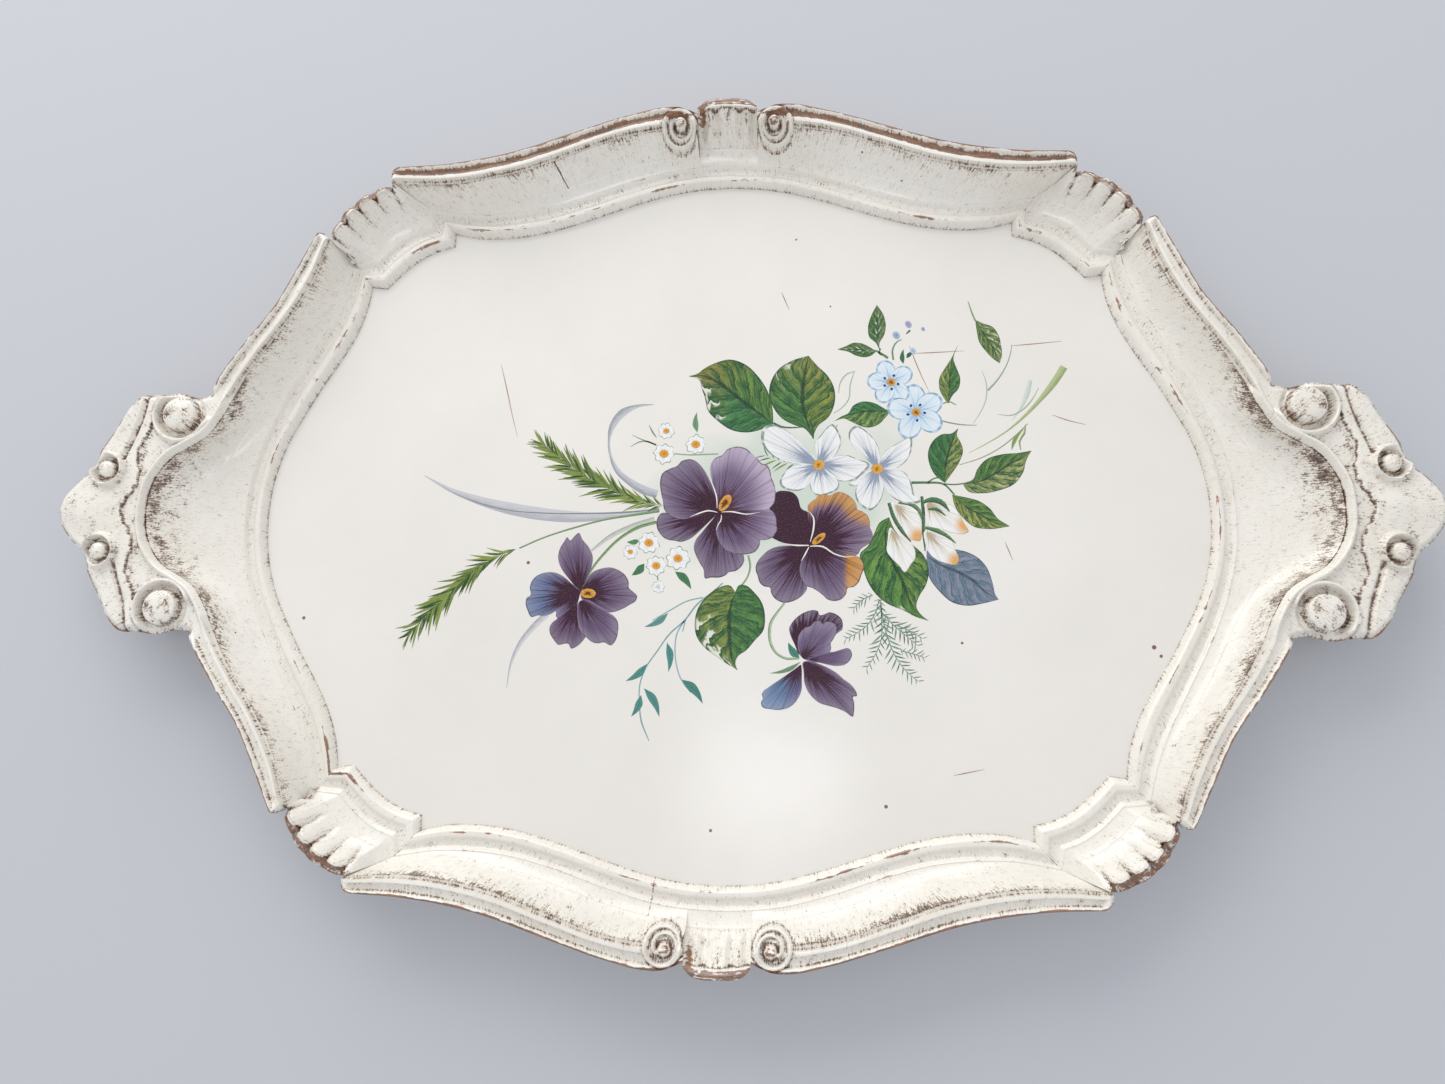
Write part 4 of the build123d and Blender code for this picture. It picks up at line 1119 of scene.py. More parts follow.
def spray(name, tree, spines, level):
    """Blades along each spine, as one plain mesh. A spine is its points and the sizes of its blades."""
    made = bmesh.new()
    for seed, (route, sizes) in enumerate(spines):
        path = smooth_line(route)(np.linspace(0, 1, 24))
        curve = bpy.data.curves.new(name, "CURVE")
        curve.dimensions = "3D"
        line = curve.splines.new("POLY")
        line.points.add(len(path) - 1)
        for point, (x, y) in zip(line.points, path):
            point.co = (x * MM, y * MM, (INK_TOP + level * INK_STEP) * MM, 1)
        helper = add_object(name, curve)
        grow = helper.modifiers.new("spray", "NODES")
        grow.node_group = tree
        inputs = {"Blades": 30, "Length": 8 * MM, "Width": 0.1, "Lean": 0.4, "Scatter": 0.4,
                  "End size": 0.5, "Film": INK_ROOT * MM, "Seed": seed, **sizes}
        for socket in tree.interface.items_tree:
            if socket.in_out == "INPUT" and socket.name in inputs:
                grow[socket.identifier] = inputs[socket.name]
        evaluated = helper.evaluated_get(bpy.context.evaluated_depsgraph_get())
        mesh = bpy.data.meshes.new_from_object(evaluated)
        made.from_mesh(mesh)
        bpy.data.meshes.remove(mesh)
        bpy.data.objects.remove(helper)
        bpy.data.curves.remove(curve)
    bmesh.ops.recalc_face_normals(made, faces=made.faces)
    mesh = bpy.data.meshes.new(name)
    made.to_mesh(mesh)
    made.free()
    piece = add_object(name, mesh)
    mesh.materials.append(tree.nodes["Set Material"].inputs["Material"].default_value)
    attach(piece, "root")


EARS = [
    ([(-24, 4.3), (-34, 6.6), (-45, 11.2), (-56, 17.4), (-65, 24), (-72, 29.6)],
     {"Blades": 110, "Length": 11.5 * MM, "Width": 0.085, "Lean": 0.32, "Scatter": 0.5, "End size": 0.5}),
    ([(-80, -12.3), (-90, -16.6), (-99, -23.6), (-108, -32), (-115, -39.5), (-120, -45.5)],
     {"Blades": 90, "Length": 11.5 * MM, "Width": 0.085, "Lean": 0.28, "Scatter": 0.45, "End size": 0.5}),
    ([(27, 20.6), (21, 21.6), (15, 24)],
     {"Blades": 12, "Length": 6.5 * MM, "Width": 0.09, "Lean": 0.7, "Scatter": 0.5, "End size": 0.7}),
]
FRONDS = [([(57.5, -31), (56, -36), (53, -40.6), (48.5, -44), (45, -45.8)],
           {"Blades": 22, "Length": 3.8 * MM}),
          ([(58, -31), (58.2, -39), (58, -46), (56, -51), (52.5, -56.5)], {"Blades": 26, "Length": 4 * MM}),
          ([(57.8, -33), (60, -44), (63, -52), (67, -57.5), (71, -61)], {"Blades": 32, "Length": 4.4 * MM}),
          ([(58.4, -36), (62, -40), (66.5, -44), (71, -48)], {"Blades": 20, "Length": 4.6 * MM}),
          ([(63, -40.5), (67, -42), (73, -45.4)], {"Blades": 12, "Length": 3.6 * MM}),
          ([(65, -50), (69, -51), (73.5, -52.4)], {"Blades": 12, "Length": 3.2 * MM}),
          ([(55, -29.5), (51, -31.4), (48, -34.6)], {"Blades": 12, "Length": 3.6 * MM})]
spray("print_wheat_ears", spray_tree(blade_ink("printed_wheat_ink", "#86964A", "#284C26")), EARS, 4)
FROND = {"Width": 0.13, "Lean": 0.75, "Scatter": 0.3, "End size": 0.55}
spray("print_fern_fronds", spray_tree(blade_ink("printed_fern_ink", "#7F9A86", "#3F6650")),
      [(route, {**FROND, **sizes}) for route, sizes in FRONDS], 3)
film_piece("print_fern_stalks",
           [line_film(route, [0.45, 0.4, 0.25], 3, pale="#93A898", deep="#5F7F6C") for route, _ in FRONDS],
           LINE_INK)

# The pale green shade behind the flowers, airbrushed in the enamel's own surface
WASH_AT = (24, 12)
wash = fan_film(disc(WASH_AT, (74, 38), 14, 16), WASH_AT, 0, rings=10,
                wash=lambda x, y, uv: (1 - uv[:, 1]) ** 0.8)
film_piece("print_green_wash", [wash], board.data.materials[0])


# ---------------------------------------------------------------------------------------------
# Bead course: the lower layer of the rim, nine lengths of moulded wood glued on the board. A
# rounded bead runs round the panel, stepping in at two notches in each corner, then a small
# hollow, a thin arris, and the lower part of the slope.
# ---------------------------------------------------------------------------------------------

SPACING = 0.5  # distance between rows of the carving, in mm
GLUE_TOP = 14.0  # height of the glue plane between the two courses
SLOPE_TOP = 23.2
SLOPE_START = 0.35  # the slope is concave: its height at share v is a v + (1 - a) v v
GLUE_SHARE = 0.36  # the share of the slope that lies on the bead course
COURSE_TUCK = 8.0  # how far the glue plane stops inside the outer edge
BEAD = [(0, 0), (0.05, 0.9), (0.12, 2.1), (0.2, 2.95), (0.29, 3.35), (0.38, 3.3), (0.5, 2.75), (0.64, 2.15),
        (0.76, 2.05), (0.86, 2.5), (0.93, 3.25), (0.97, 3.5), (1.0, 3.35)]


def ripple(x, y, size, seed):
    """Slow unevenness of hand work, from -1 to 1, with waves about this long in mm."""
    draw = np.random.default_rng(seed)
    total = np.zeros_like(x)
    for _ in range(9):
        heading = draw.uniform(0, 2 * np.pi)
        pitch = 2 * np.pi / (size * draw.uniform(0.6, 1.7))
        total += np.sin((x * np.cos(heading) + y * np.sin(heading)) * pitch + draw.uniform(0, 6.3))
    return total / 4.5


def softened(grid, reach):
    """A grid of heights blurred over this many cells each way."""
    kernel = np.hanning(2 * reach + 3)[1:-1]
    kernel /= kernel.sum()
    out = grid
    for axis in (0, 1):
        padded = np.apply_along_axis(lambda line: np.pad(line, reach, mode="edge"), axis, out)
        out = np.apply_along_axis(lambda line: np.convolve(line, kernel, mode="valid"), axis, padded)
    return out


def slope_height(share):
    """Height of the hollow inner slope at a share of its width."""
    low = BOARD_TOP + BEAD[-1][1]
    return low + (SLOPE_TOP - low) * (SLOPE_START * share + (1 - SLOPE_START) * share**2)


def between(a, b, share):
    """Points at shares of the way from rows a to rows b."""
    share = np.broadcast_to(share, (len(a), np.shape(share)[-1]))
    return a[:, None] + (b - a)[:, None] * share[..., None]


def wrap_rows(top_plan, top_z, under_plan, under_z, mirror):
    """Joins the carved top and the plain underside of a run into closed loops in the tray's frame."""
    plan = np.concatenate([top_plan, under_plan], 1) * mirror[:, None]
    return np.concatenate([plan, np.concatenate([top_z, under_z], 1)[..., None]], -1)


def end_rows(count):
    """1 in the first and the last row of a run, 0 in the others."""
    return np.isin(np.arange(count), (0, count - 1))[:, None].astype(float)


def carving_uv(plan, mirror):
    """Distance along the run and across it, in metres, for patterns that follow the carving."""
    middle = plan.mean(1) * mirror
    along = np.concatenate([[0], np.cumsum(np.hypot(*np.diff(middle, axis=0).T))])
    across = np.cumsum(np.hypot(*np.moveaxis(np.diff(plan, axis=1, prepend=plan[:, :1]), -1, 0)), 1)
    return np.stack([np.broadcast_to(along[:, None], across.shape), across], -1) * MM


def make_bead(name, run, joint=0.0):
    """One length of the bead course. joint is how much old dirt shows in the seams at its ends."""
    share = np.linspace(0, 1, 30)
    slope = np.linspace(0, GLUE_SHARE, 12)[1:]
    plan = np.concatenate([between(run["foot"], run["step"], share),
                           between(run["step"], run["rail"], slope)], 1)
    profile = smooth_line(BEAD)(np.linspace(0, 1, 200))
    height = np.interp(share, profile[:, 0], profile[:, 1]) + BOARD_TOP
    z = np.tile(np.concatenate([height, slope_height(slope)]), (len(plan), 1))
    x, y = np.moveaxis(plan * run["mirror"][:, None], -1, 0)
    wide = np.concatenate([share, 1 + slope])[None]
    z = z + 0.12 * ripple(x, y, 22, 3) * np.minimum(1, wide * 4) * (1 - eased(wide, 1.15, 1 + GLUE_SHARE))
    foot, edge = run["foot"], outer_line(run)
    reach = np.linalg.norm(edge - foot, axis=1)[:, None]
    runs = np.array([[COURSE_TUCK, BOARD_INSET[0]]])
    under = np.concatenate([foot[:, None] + unit(edge - foot)[:, None] * (reach - runs)[..., None],
                            foot[:, None]], 1)
    under_z = np.tile([GLUE_TOP, BOARD_TOP - REBATE, BOARD_TOP - REBATE], (len(plan), 1))
    hollow = cavity(z, 5)
    bare = under_z * 0
    rubbed = (0.5 * hill(wide - 0.27, 0.13) * (0.75 + 0.8 * ripple(x, y, 34, 6))
              + 0.35 * hill(wide - 0.97, 0.05))
    ends = end_rows(len(plan))
    glaze = (0.5 * hill(wide, 0.12) + 0.28 * hill(wide - 0.7, 0.2) + 0.9 * joint * ends
             + 0.12 * eased(wide, 1.1, 1.36))
    carved = {"hollow": hollow, "worn": rubbed + 0.3 * ends, "glazed": glaze}
    values = {key: np.concatenate([value, bare], 1) for key, value in carved.items()}
    rows = wrap_rows(plan, z, under, under_z, run["mirror"])
    whole_plan = np.concatenate([plan, under], 1)
    return solid_mesh(name, rows, values, carving_uv(whole_plan, run["mirror"]))


def cavity(z, reach):
    """How much lower than its surroundings the carving lies, in mm."""
    return np.maximum(softened(z, reach) - z, 0)


def eased(value, low, high):
    """Smooth step from 0 at low to 1 at high."""
    t = np.clip((value - low) / (high - low), 0, 1)
    return t * t * (3 - 2 * t)


def hill(distance, width):
    """A rounded ridge that is 1 on its line and 0 this far from it."""
    return np.where(np.abs(distance) < width, 0.5 + 0.5 * np.cos(np.pi * distance / width), 0.0)


QUARTERS = {"top_right": (1, 1), "top_left": (-1, 1), "bottom_right": (1, -1), "bottom_left": (-1, -1)}
CORNER = [("notch_in", 0, 1), ("corner", 0, 1), ("notch_out", 0, 1)]
BEAD_JOINT = 0.12

beads = {"bead_top": mirrored_run([("crest", 0, 1), ("long", 0, 1)], (1, 1), (-1, 1), SPACING)}
for name, (across, along) in QUARTERS.items():
    beads["bead_corner_" + name] = joined([stretch(z, a, b, across, along, SPACING) for z, a, b in CORNER])
for name, across in (("left", -1), ("right", 1)):
    beads["bead_" + name] = mirrored_run([("grip", 1, 0), ("side", 1, 0)], (across, 1), (across, -1),
                                         SPACING)
beads["bead_bottom_left"] = stretch("long", BEAD_JOINT, 1, -1, -1, SPACING)
beads["bead_bottom_right"] = joined(
    [stretch("long", BEAD_JOINT, 0, -1, -1, SPACING), stretch("crest", 1, 0, -1, -1, SPACING),
     stretch("crest", 0, 1, 1, -1, SPACING), stretch("long", 0, 1, 1, -1, SPACING)])


def antiqued_wood():
    """Carved wood in cream paint, brushed with umber glaze that was wiped off the high parts, rubbed
    through to the wood on its edges, and varnished: cream with broken brown ticks across the slopes
    and in the hollows, orange-brown wood along the lips, all under gloss."""
    paint = Ink("antiqued_cream_paint_on_carved_wood")
    place, follow = paint.place(), paint.follow("carving")
    worn = paint.value("worn")
    cloud = paint.noise(place, 22.0, 4.0, 0.6)
    fine = paint.noise(place, 1400.0, 3.0, 0.7)
    blotch = paint.noise(place, 330.0, 3.0, 0.65)
    brushed = paint.noise(paint.stretched(follow, (1500, 380, 1)), 1.0, 4.0, 0.75)
    drawn = paint.noise(paint.stretched(follow, (110, 900, 1)), 1.0, 3.0, 0.65)
    glaze = paint.plus(paint.value("glazed"), paint.times(paint.value("hollow"), 0.8))
    ticks = paint.plus(paint.times(brushed, 0.62), paint.times(fine, 0.38))
    level = paint.plus(paint.plus(ticks, paint.times(glaze, 0.16)),
                        paint.times(paint.minus(blotch, 0.5), 0.25))
    cream = paint.mix(paint.step(cloud, 0.3, 0.7), "#EDE8DE", "#F4F0E8")
    washed = paint.mix(paint.times(paint.step(level, 0.5, 0.76), 0.6), cream, "#A58D68")
    inked = paint.mix(paint.times(paint.step(level, 0.63, 0.67), 0.82), washed, "#6A4733")
    glazed = paint.mix(paint.times(paint.step(level, 0.7, 0.76), 0.8), inked, "#2E1D17")
    rub = paint.plus(worn, paint.times(paint.minus(drawn, 0.5), 2.0))
    rub = paint.plus(rub, paint.times(paint.minus(blotch, 0.5), 1.2))
    wood = paint.mix(paint.step(paint.plus(paint.times(fine, 0.5), paint.times(drawn, 0.5)), 0.42, 0.6),
                     "#4E2E1C", "#A0622F")
    rubbed = paint.mix(paint.times(paint.step(rub, 0.5, 0.68), 0.9), glazed, wood)
    spots = paint.node("ShaderNodeTexVoronoi", [("Vector", place)], Scale=150.0).outputs["Distance"]
    spotted = paint.mix(paint.maths("LESS_THAN", spots, paint.times(paint.step(cloud, 0.45, 0.75), 0.08)),
                        rubbed, "#6B4A36")
    return paint.varnished(spotted, blotch, strength=0.12, roughness=0.42, coat=0.8, coat_roughness=0.16,
                           gleam=0.5)


PAINTED = antiqued_wood()


def finish_piece(piece, *nodes):
    """Paints a carved block, ties it to the tray and hides the CAD nodes that it stands for."""
    piece.data.materials.append(PAINTED)
    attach(piece, "root")
    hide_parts(*nodes)


for name, run in beads.items():
    seam = 1.0 if "bottom" in name and "corner" not in name else 0.2
    finish_piece(make_bead(name + "_moulding", run, seam), name)


# ---------------------------------------------------------------------------------------------
# Rails: the long and the side lengths of the rim course, glued on the bead course. Each has the
# top of the slope, a dark quirk, a thin fillet, a hollow and a rounded outer lip. The long ones
# start in a scroll beside the crest.
# ---------------------------------------------------------------------------------------------

RAIL = [(0, 22.7), (0.05, 22.6), (0.12, 24.6), (0.19, 25.2), (0.3, 25.3), (0.38, 24.7), (0.5, 23.9),
        (0.66, 23.8), (0.79, 24.5), (0.86, 25.6), (0.92, 25.8), (1.0, 25.2)]
SCROLL_AT = (18.8, 152.6)
SCROLL_RADIUS = 6.9
LONG_JOINT = 0.47  # share of the long zone where the upper left rail is pieced
SIDE_JOINT = 0.72  # share of the side zone where a side rail meets its handle block
LONG_LENGTH, SIDE_LENGTH, SIDE_RAIL_LENGTH = 125.0, 105.0, 76.0
RAIL_TUCK = (0.25, 1.0, COURSE_TUCK)  # how far the outer face lies inside the edge, going down
HANDLE_TUCK = (0.3, 1.0, 3.5)
TUCK_FROM = (17.5, 19.0)  # height where the outer face turns in, at a handle and elsewhere


def make_rim(name, run, sculpt=None, columns=(26, 26), joint=0.3):
    """One block of the rim course. sculpt changes the heights where the block is carved further, and
    joint is how much old dirt shows in the seams at its ends."""
    slope = np.linspace(GLUE_SHARE, 1, columns[0])[:-1]
    rail = np.linspace(0, 1, columns[1])
    plan = np.concatenate([between(run["step"], run["rail"], slope),
                           between(run["rail"], run["edge"], rail)], 1)
    profile = smooth_line(RAIL)(np.linspace(0, 1, 200))
    z = np.tile(np.concatenate([slope_height(slope), np.interp(rail, profile[:, 0], profile[:, 1])]),
                (len(plan), 1))
    across = np.tile(np.concatenate([slope - 1, rail]), (len(plan), 1))
    x, y = np.moveaxis(plan * run["mirror"][:, None], -1, 0)
    far = (run["zone"] == "long")[:, None] & (y > 0)
    near = (run["zone"] == "long")[:, None] & (y < 0)
    patchy = 0.7 + 0.5 * ripple(x, y, 30, 11)
    quirk = patchy * (1.05 * np.exp(across / 0.14) + 0.3 * np.exp(across / 0.4))
    glaze = np.where(across < 0, quirk, 0.95 * hill(across, 0.07))
    glaze += (np.where(far, 0.45, 0.25 * patchy) * hill(across - 0.58, 0.3)
              + 0.8 * patchy * hill(across - 0.77, 0.09))
    # The outer lip is made much darker on the near long rails than on the far rails and the side rails.
    glaze += np.where(near, 1.2, 0.3) * eased(across, 0.9, 1.0)
    ends = end_rows(len(z))
    extra = {"glazed": glaze + joint * ends * (across < 0),
             "worn": np.where(far, 1.25, 0.15) * hill(across - 0.62, 0.28)
             + np.where(far | near, 1.0, 0.9) * eased(across, 0.82, 0.95)}
    if sculpt:
        z = sculpt(run, plan[..., 0], plan[..., 1], z, across, extra)
    z = z + 0.16 * ripple(x, y, 19, 5) * eased(np.abs(across + 1 - GLUE_SHARE), 0, 0.1)
    inward = unit(run["rail"] - run["edge"])
    grip = (run["zone"] == "grip")[:, None]
    tuck = np.where(grip, [HANDLE_TUCK], [RAIL_TUCK])
    drop = np.stack([z[:, -1] - 1.2, np.where(grip[:, 0], *TUCK_FROM), np.full(len(z), GLUE_TOP)], 1)
    under = run["edge"][:, None] + inward[:, None] * tuck[..., None]
    flat = np.zeros_like(drop)
    values = {"hollow": np.concatenate([cavity(z, 5), flat], 1),
              "worn": np.concatenate([extra["worn"], flat + 0.35], 1),
              "glazed": np.concatenate([extra["glazed"], flat + 0.7], 1)}
    rows = wrap_rows(plan, z, under, drop, run["mirror"])
    return solid_mesh(name, rows, values, carving_uv(np.concatenate([plan, under], 1), run["mirror"]))


def carve_end(run, x, y, z, across, extra):
    """Rounds the free end of a rail to a nose, where the fillet and the lip meet."""
    tip = np.where(run["zone"] == "long", run["share"], 1 - run["share"])[:, None]
    gap = (1 - tip) * np.where(run["zone"] == "long", LONG_LENGTH, SIDE_RAIL_LENGTH)[:, None]
    nose = (across > 0.15) * (across < 0.93)
    z = z + (25.3 - z) * (1 - eased(gap, 1.6, 4.5)) * nose
    return z - 1.6 * (1 - eased(gap, 0, 2.0)) ** 2 * (across > 0)


def carve_scroll(run, x, y, z, across, extra):
    """The scroll at the start of a long rail: a thin crest that winds in round a hollow to its eye."""
    dx, dy = x - SCROLL_AT[0], y - SCROLL_AT[1]
    far = np.hypot(dx, dy)
    turn = (np.degrees(np.arctan2(dy, dx)) - 60) / 360 % 1.0
    eye = np.hypot(dx + 0.6, dy - 0.9)
    crest = np.maximum(hill(far - 6.1, 1.3), hill(far - (6.1 - 3.6 * turn), 1.1))
    top = (23.9 + 2.2 * crest + 2.2 * (1 - eased(eye, 1.4, 2.8)) * (1 - crest)
           - 0.95 * np.maximum(SCROLL_AT[1] + 1 - y, 0))
    inside = 1 - eased(far, SCROLL_RADIUS - 0.1, SCROLL_RADIUS + 0.5)
    extra["glazed"] *= 1 - inside
    extra["glazed"] += (inside * (0.45 * (1 - crest) + 0.8 * hill(eye - 2.6, 0.9))
                        + 0.3 * hill(far - SCROLL_RADIUS - 0.3, 0.8))
    extra["worn"] *= 1 - inside * (y < SCROLL_AT[1] + 3)
    extra["worn"] += 0.6 * (1 - eased(eye, 1.5, 2.4)) * inside
    return carve_end(run, x, y, z + (top - z) * inside, across, extra)


rails = {
    "rail_top_left_outer": stretch("long", LONG_JOINT, 1, -1, 1, SPACING),
    "rail_top_left_scroll": stretch("long", 0, LONG_JOINT, -1, 1, SPACING),
}
for name in ("top_right", "bottom_right", "bottom_left"):
    rails["rail_" + name] = stretch("long", 0, 1, *QUARTERS[name], SPACING)
for name, quarter in QUARTERS.items():
    rails["side_rail_" + name] = stretch("side", 0, SIDE_JOINT, *quarter, SPACING)
for name, run in rails.items():
    tip = (1 - run["share"]) * LONG_LENGTH if name.startswith("rail_") else run["share"] * SIDE_LENGTH
    if not name.endswith("_scroll"):
        run["edge"] += (run["rail"] - run["edge"]) * (0.4 * np.clip(1 - tip / 3.5, 0, 1) ** 2)[:, None]
    scroll = carve_scroll if name.startswith("rail_") and not name.endswith("outer") else carve_end
    finish_piece(make_rim(name + "_carving", run, scroll, joint=1.6 if "top_left_" in name else 0.3), name)


# ---------------------------------------------------------------------------------------------
# Crests: a short block in the middle of each long side, higher than the rails, carved with
# upright flutes between the two scrolls and glued on the bead course.
# ---------------------------------------------------------------------------------------------

def carve_crest(run, x, y, z, across, extra):
    """The crest: two flutes at each side of a broad rib, up to a rolled top edge."""
    side = x * run["mirror"][:, :1]
    top = np.interp(across, [GLUE_SHARE - 1, -0.5, -0.2, -0.03, 0.12, 0.6, 1.0],
                    [slope_height(GLUE_SHARE), 17.2, 22.3, 25.6, 27.0, 27.2, 25.8])
    cut = (hill(x - 4.8, 2.6) + hill(x - 9.9, 2.4)) * eased(across, -0.66, -0.3)
    cut *= 1 - eased(across, 0.0, 0.1)
    extra["glazed"] = ((0.75 * hill(x - 7.4, 0.9) + 0.5 * hill(x, 2.4)) * eased(across, -0.5, -0.1)
                       * (across < 0.05))
    extra["glazed"] += 0.95 * hill(across - 0.03, 0.08) + 0.2 + 0.3 * eased(across, 0.85, 1.0)
    extra["worn"] = 0.75 * eased(across, 0.08, 0.3) + 0.8 * hill(side + 10, 3) * eased(across, -0.45, -0.2)
    return top - 2.6 * cut


for name, along in (("top", 1), ("bottom", -1)):
    run = mirrored_run([("crest", 0, 1)], (1, along), (-1, along), SPACING / 2)
    finish_piece(make_rim("crest_" + name + "_carving", run, carve_crest), "crest_" + name)


# ---------------------------------------------------------------------------------------------
# Shell corners: four blocks between the rails, carved as shells with flutes that fan out to a
# scalloped, heavily rubbed edge.
# ---------------------------------------------------------------------------------------------

SHELL_HUB = (112, 88)  # the flutes point at this place on the panel
FIRST_FLUTE, FLUTE_RATE = 0.465, 19.6  # angle of one flute, and half turns of the fluting per radian


def carve_shell(run, x, y, z, across, extra):
    """The shell: lobes between flutes that deepen to a ragged arris, and a rough chamfer outside it."""
    angle = np.arctan2(y - SHELL_HUB[1], x - SHELL_HUB[0])
    groove = (1 - np.abs(np.sin((angle - FIRST_FLUTE) * FLUTE_RATE))) ** 1.3
    fan = eased(across, -0.7, -0.05)
    arris = 0.12 + 0.14 * ripple(x, y, 5, 21) - 0.12 * groove
    chamfer = eased(across, arris - 0.05, arris + 0.12)
    base = np.where(across > 0, 23.9, np.minimum(z, 24.4)) + 0.9 * (1 - groove) * fan * (1 - chamfer)
    extra["glazed"] = 0.45 * groove * fan + 0.75 * hill(across - arris, 0.12) + 0.75 * chamfer + 0.12 * fan
    extra["worn"] = 0.66 * chamfer
    return (base - 1.2 * groove * fan - chamfer * (0.9 + 2.4 * across)
            + 0.35 * chamfer * ripple(x, y, 2.4, 4))


for name, quarter in QUARTERS.items():
    run = joined([stretch(z, a, b, *quarter, SPACING * 0.7) for z, a, b in CORNER])
    finish_piece(make_rim("shell_" + name + "_carving", run, carve_shell), "shell_" + name)


# ---------------------------------------------------------------------------------------------
# Handles: one carved block at each end. The slope runs up to a bowed ridge; outside it stand two
# round bosses, two small scrolls and a leaf with a rounded tongue. Dowels tie it to the rails.
# ---------------------------------------------------------------------------------------------

BOSS_AT = (208.6, 37.2)
CURL_AT = (235.4, 15.8)
JAG = [(219.2, 39), (220.3, 33), (222.4, 28), (224.6, 23.5), (224.2, 18.5), (223.3, 14), (224.3, 9),
       (227.3, 4.5), (229.3, 0)]
LEAF_GROOVE = [(230, 20), (228.2, 25), (226, 31), (224.2, 37), (223.2, 43), (223, 47)]
LEAF_RIB = [(240, 23.5), (235, 32), (231, 39), (228, 45)]


def distance_to(x, y, line, signed=False):
    """Distance from points to a line through a few points, positive on its outer side if signed."""
    path = smooth_line(line)(np.linspace(0, 1, 60))
    best = np.full(x.shape, 1e9)
    side = np.ones(x.shape)
    for a, b in zip(path[:-1], path[1:]):
        edge = b - a
        t = np.clip(((x - a[0]) * edge[0] + (y - a[1]) * edge[1]) / (edge @ edge), 0, 1)
        dx, dy = x - a[0] - t * edge[0], y - a[1] - t * edge[1]
        near = dx * dx + dy * dy
        closer = near < best
        best = np.where(closer, near, best)
        side = np.where(closer, np.sign(edge[1] * dx - edge[0] * dy), side)
    return np.sqrt(best) * (side if signed else 1)


def carve_handle(run, x, y, z, across, extra):
    """The carved end of a handle, laid over the plain rail."""
    outside = across > 0
    ridge = distance_to(x, y, [(188.5, 46)] + PLAN["grip"]["rail"])
    rim = distance_to(x, y, PLAN["grip"]["edge"])
    jag = distance_to(x, y, JAG, signed=True) * -1 + 0.5 * ripple(x, y, 2.8, 8)
    leaf = distance_to(x, y, LEAF_GROOVE)
    lobe = distance_to(x, y, LEAF_RIB)
    boss = np.hypot(x - BOSS_AT[0], y - BOSS_AT[1])
    curl = np.hypot(x - CURL_AT[0], y - CURL_AT[1])
    swing = np.degrees(np.arctan2(y - BOSS_AT[1], x - BOSS_AT[0]))
    wind = np.degrees(np.arctan2(y - CURL_AT[1], x - CURL_AT[0]))

    ground = 23.3 + 1.1 * eased(jag, -0.15, 0.35) - 0.04 * np.maximum(x - 240, 0)
    ground += (1.1 * hill(y, 12) * eased(x, 227, 236) + 1.0 * hill(lobe, 2.6) * (y > 18)
               - 1.5 * hill(leaf, 1.7) * (y > 19))
    band = hill(ridge - 1.9, 2.5)
    ring = hill(boss - 10.3, 2.0) * (1 - eased(np.abs(swing + 60), 95, 120))
    ground += 3.0 * np.maximum(band, 0.95 * ring) - 1.3 * hill(boss - 7.9, 1.6)
    dome = 25.2 + 2.3 * np.sqrt(np.maximum(1 - (boss / 7.0) ** 2, 0))
    ground = ground + (dome - ground) * (1 - eased(boss, 6.2, 6.9))
    loop = 1 - eased(np.abs(wind - 40), 20, 50)
    ground += 2.4 * hill(curl - 6.0, 1.5) * (1 - loop) - 1.2 * hill(curl - 4.3, 1.5)
    bud = 24.6 + 2.2 * np.sqrt(np.maximum(1 - (curl / 3.5) ** 2, 0))
    ground = ground + (bud - ground) * (1 - eased(curl, 2.9, 3.5))
    ground -= 2.6 * (1 - eased(rim, 0, 2.8)) ** 1.6
    share = np.where(run["zone"] == "grip", 1.0, eased(run["share"], 0.9, 1.0))[:, None]

    ragged = 0.6 + 0.6 * ripple(x, y, 7, 31)
    marks = (0.85 * hill(jag, 0.7) + 0.5 * ragged * hill(jag + 1.6, 2.6)
             + 0.5 * ragged * (1 - eased(boss, 5, 6.8)))
    marks += (0.55 * hill(boss - 6.6, 0.7) + 0.7 * hill(leaf, 0.8) * (y > 19) + 0.85 * hill(curl - 3.5, 0.7)
              + 0.35 * (1 - eased(curl, 2, 3.2)))
    marks += (0.4 * ragged + 0.5 * ragged * hill(lobe + 0.5, 1.6) * (y > 18)
              + 0.35 * (1 - eased(rim, 0, 1.5)))
    marks *= 1 - 0.85 * np.maximum(np.maximum(band, ring) * (boss > 8), 0) * (rim > 2)
    extra["glazed"] *= 1 - share * np.where(outside, 1.0, 0.35 * eased(across, -0.1, 0.0))
    brushed = 0.5 * ragged * eased(across, -0.6, -0.15) + 0.3 * hill(across + 0.12, 0.1) * ragged
    extra["glazed"] += share * np.where(outside, marks, brushed)
    extra["worn"] *= 1 - share
    extra["worn"] += share * outside * 0.55 * (1 - eased(rim, 0, 1.8))
    grip = np.where(outside, ground, z + 0.5 * eased(across, -0.12, 0.0))
    return z + (grip - z) * share


for name, across in (("left", -1), ("right", 1)):
    run = mirrored_run([("grip", 1, 0), ("side", 1, SIDE_JOINT)], (across, 1), (across, -1), SPACING * 0.8)
    piece = make_rim("handle_" + name + "_carving", run, carve_handle, columns=(56, 96))
    finish_piece(piece, "handle_" + name)


# ---------------------------------------------------------------------------------------------
# Dowels: turned beech pegs inside the joints between the handle blocks and the side rails.
# ---------------------------------------------------------------------------------------------

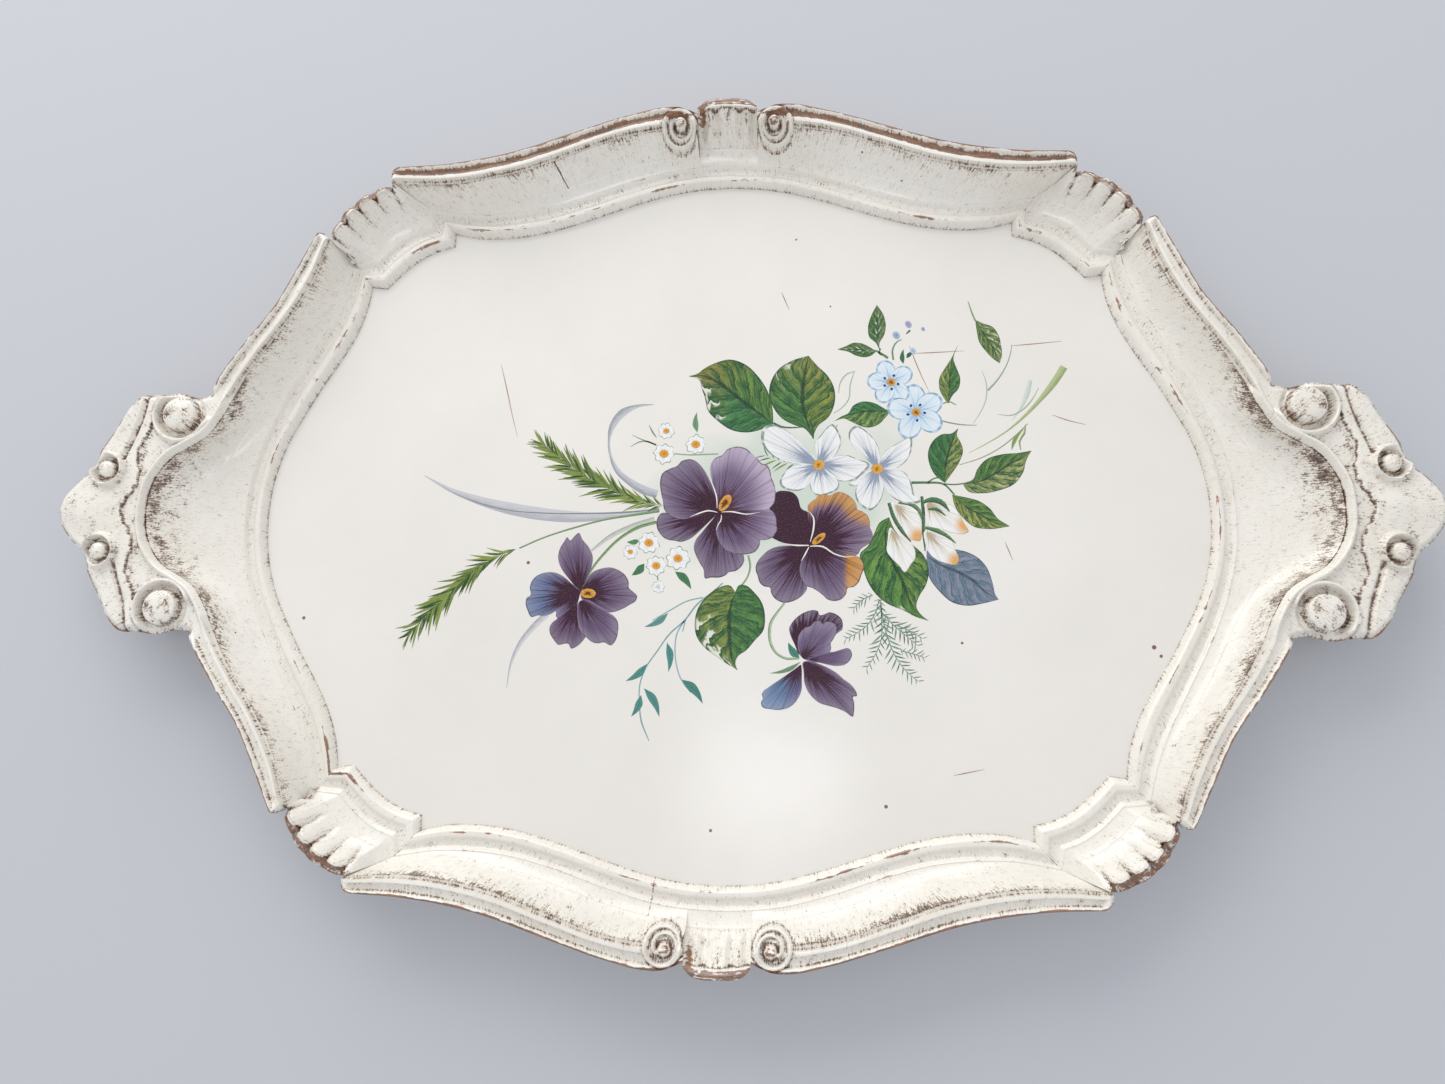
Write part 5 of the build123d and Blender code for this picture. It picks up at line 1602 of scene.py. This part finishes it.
def beech():
    """Plain turned beech: pale brown with short fine flecks along the grain, no finish."""
    material, out = new_material("bare_beech")
    place = add_node(material, "ShaderNodeTexCoord").outputs["Object"]
    grain = add_node(material, "ShaderNodeTexNoise", [("Vector", place)], Scale=900.0, Detail=3.0)
    tone = add_node(material, "ShaderNodeValToRGB", [("Fac", grain.outputs["Fac"])])
    stops(tone, [(0.35, "#B08A5E"), (0.65, "#CBA77A")])
    skin = add_node(material, "ShaderNodeBsdfPrincipled", [("Base Color", tone.outputs["Color"])],
                    Roughness=0.6)
    material.node_tree.links.new(skin.outputs["BSDF"], out.inputs["Surface"])
    return material


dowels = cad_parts["handle_dowels"]
dowels.data.materials.clear()
dowels.data.materials.append(beech())


# ---------------------------------------------------------------------------------------------
# Floor, light and camera. A pale plain floor, a wide soft light from the far side and the left,
# a small weak one overhead that the varnish mirrors, and the camera held over the near edge.
# ---------------------------------------------------------------------------------------------

def pale_floor():
    """Matt pale grey studio paper."""
    material, out = new_material("pale_studio_paper")
    skin = add_node(material, "ShaderNodeBsdfPrincipled", Base_Color=linear("#C6C8CE"), Roughness=0.9)
    material.node_tree.links.new(skin.outputs["BSDF"], out.inputs["Surface"])
    return material


floor_mesh = bpy.data.meshes.new("floor")
floor_mesh.from_pydata([(-3, -3, 0), (3, -3, 0), (3, 3, 0), (-3, 3, 0)], [], [(0, 1, 2, 3)])
floor = add_object("floor", floor_mesh)
floor.data.materials.append(pale_floor())


def soft_light(name, place, aim, size, power, colour):
    """A rectangular soft light that faces a point."""
    lamp = bpy.data.lights.new(name, "AREA")
    lamp.shape = "RECTANGLE"
    lamp.size, lamp.size_y = size
    lamp.energy = power
    lamp.color = linear(colour)[:3]
    light = add_object(name, lamp)
    light.location = place
    light.rotation_euler = (Vector(aim) - Vector(place)).to_track_quat("-Z", "Y").to_euler()


soft_light("far_window", (-0.5, 1.25, 0.75), (0, 0, 0), (1.6, 0.9), 14, "#FFFDF8")
soft_light("overhead", (-0.02, -0.15, 1.25), (0, -0.05, 0), (0.22, 0.15), 0.6, "#FFFFFF")
world = bpy.data.worlds.new("soft_room")
bpy.context.scene.world = world
world.use_nodes = True
world.node_tree.nodes["Background"].inputs["Color"].default_value = linear("#EEF0F4")
world.node_tree.nodes["Background"].inputs["Strength"].default_value = 0.83
bpy.context.scene.view_settings.view_transform = "Standard"

CAMERA_AT = Vector((27.6, -81.2, 409.1)) * MM
CAMERA_AIM = Vector((-1.0, -9.5, BOARD_TOP)) * MM
LENS = 26.96
forward = (CAMERA_AIM - CAMERA_AT).normalized()
right = (Vector((1, 0, 0)) - forward * forward.x).normalized()
turned = Matrix([right, right.cross(forward), -forward]).transposed().to_4x4()
lens = bpy.data.cameras.new("camera")
lens.lens = LENS
lens.sensor_width = 36.0
lens.clip_start = 0.02
camera = add_object("camera", lens)
camera.matrix_world = Matrix.Translation(CAMERA_AT) @ turned
bpy.context.scene.camera = camera
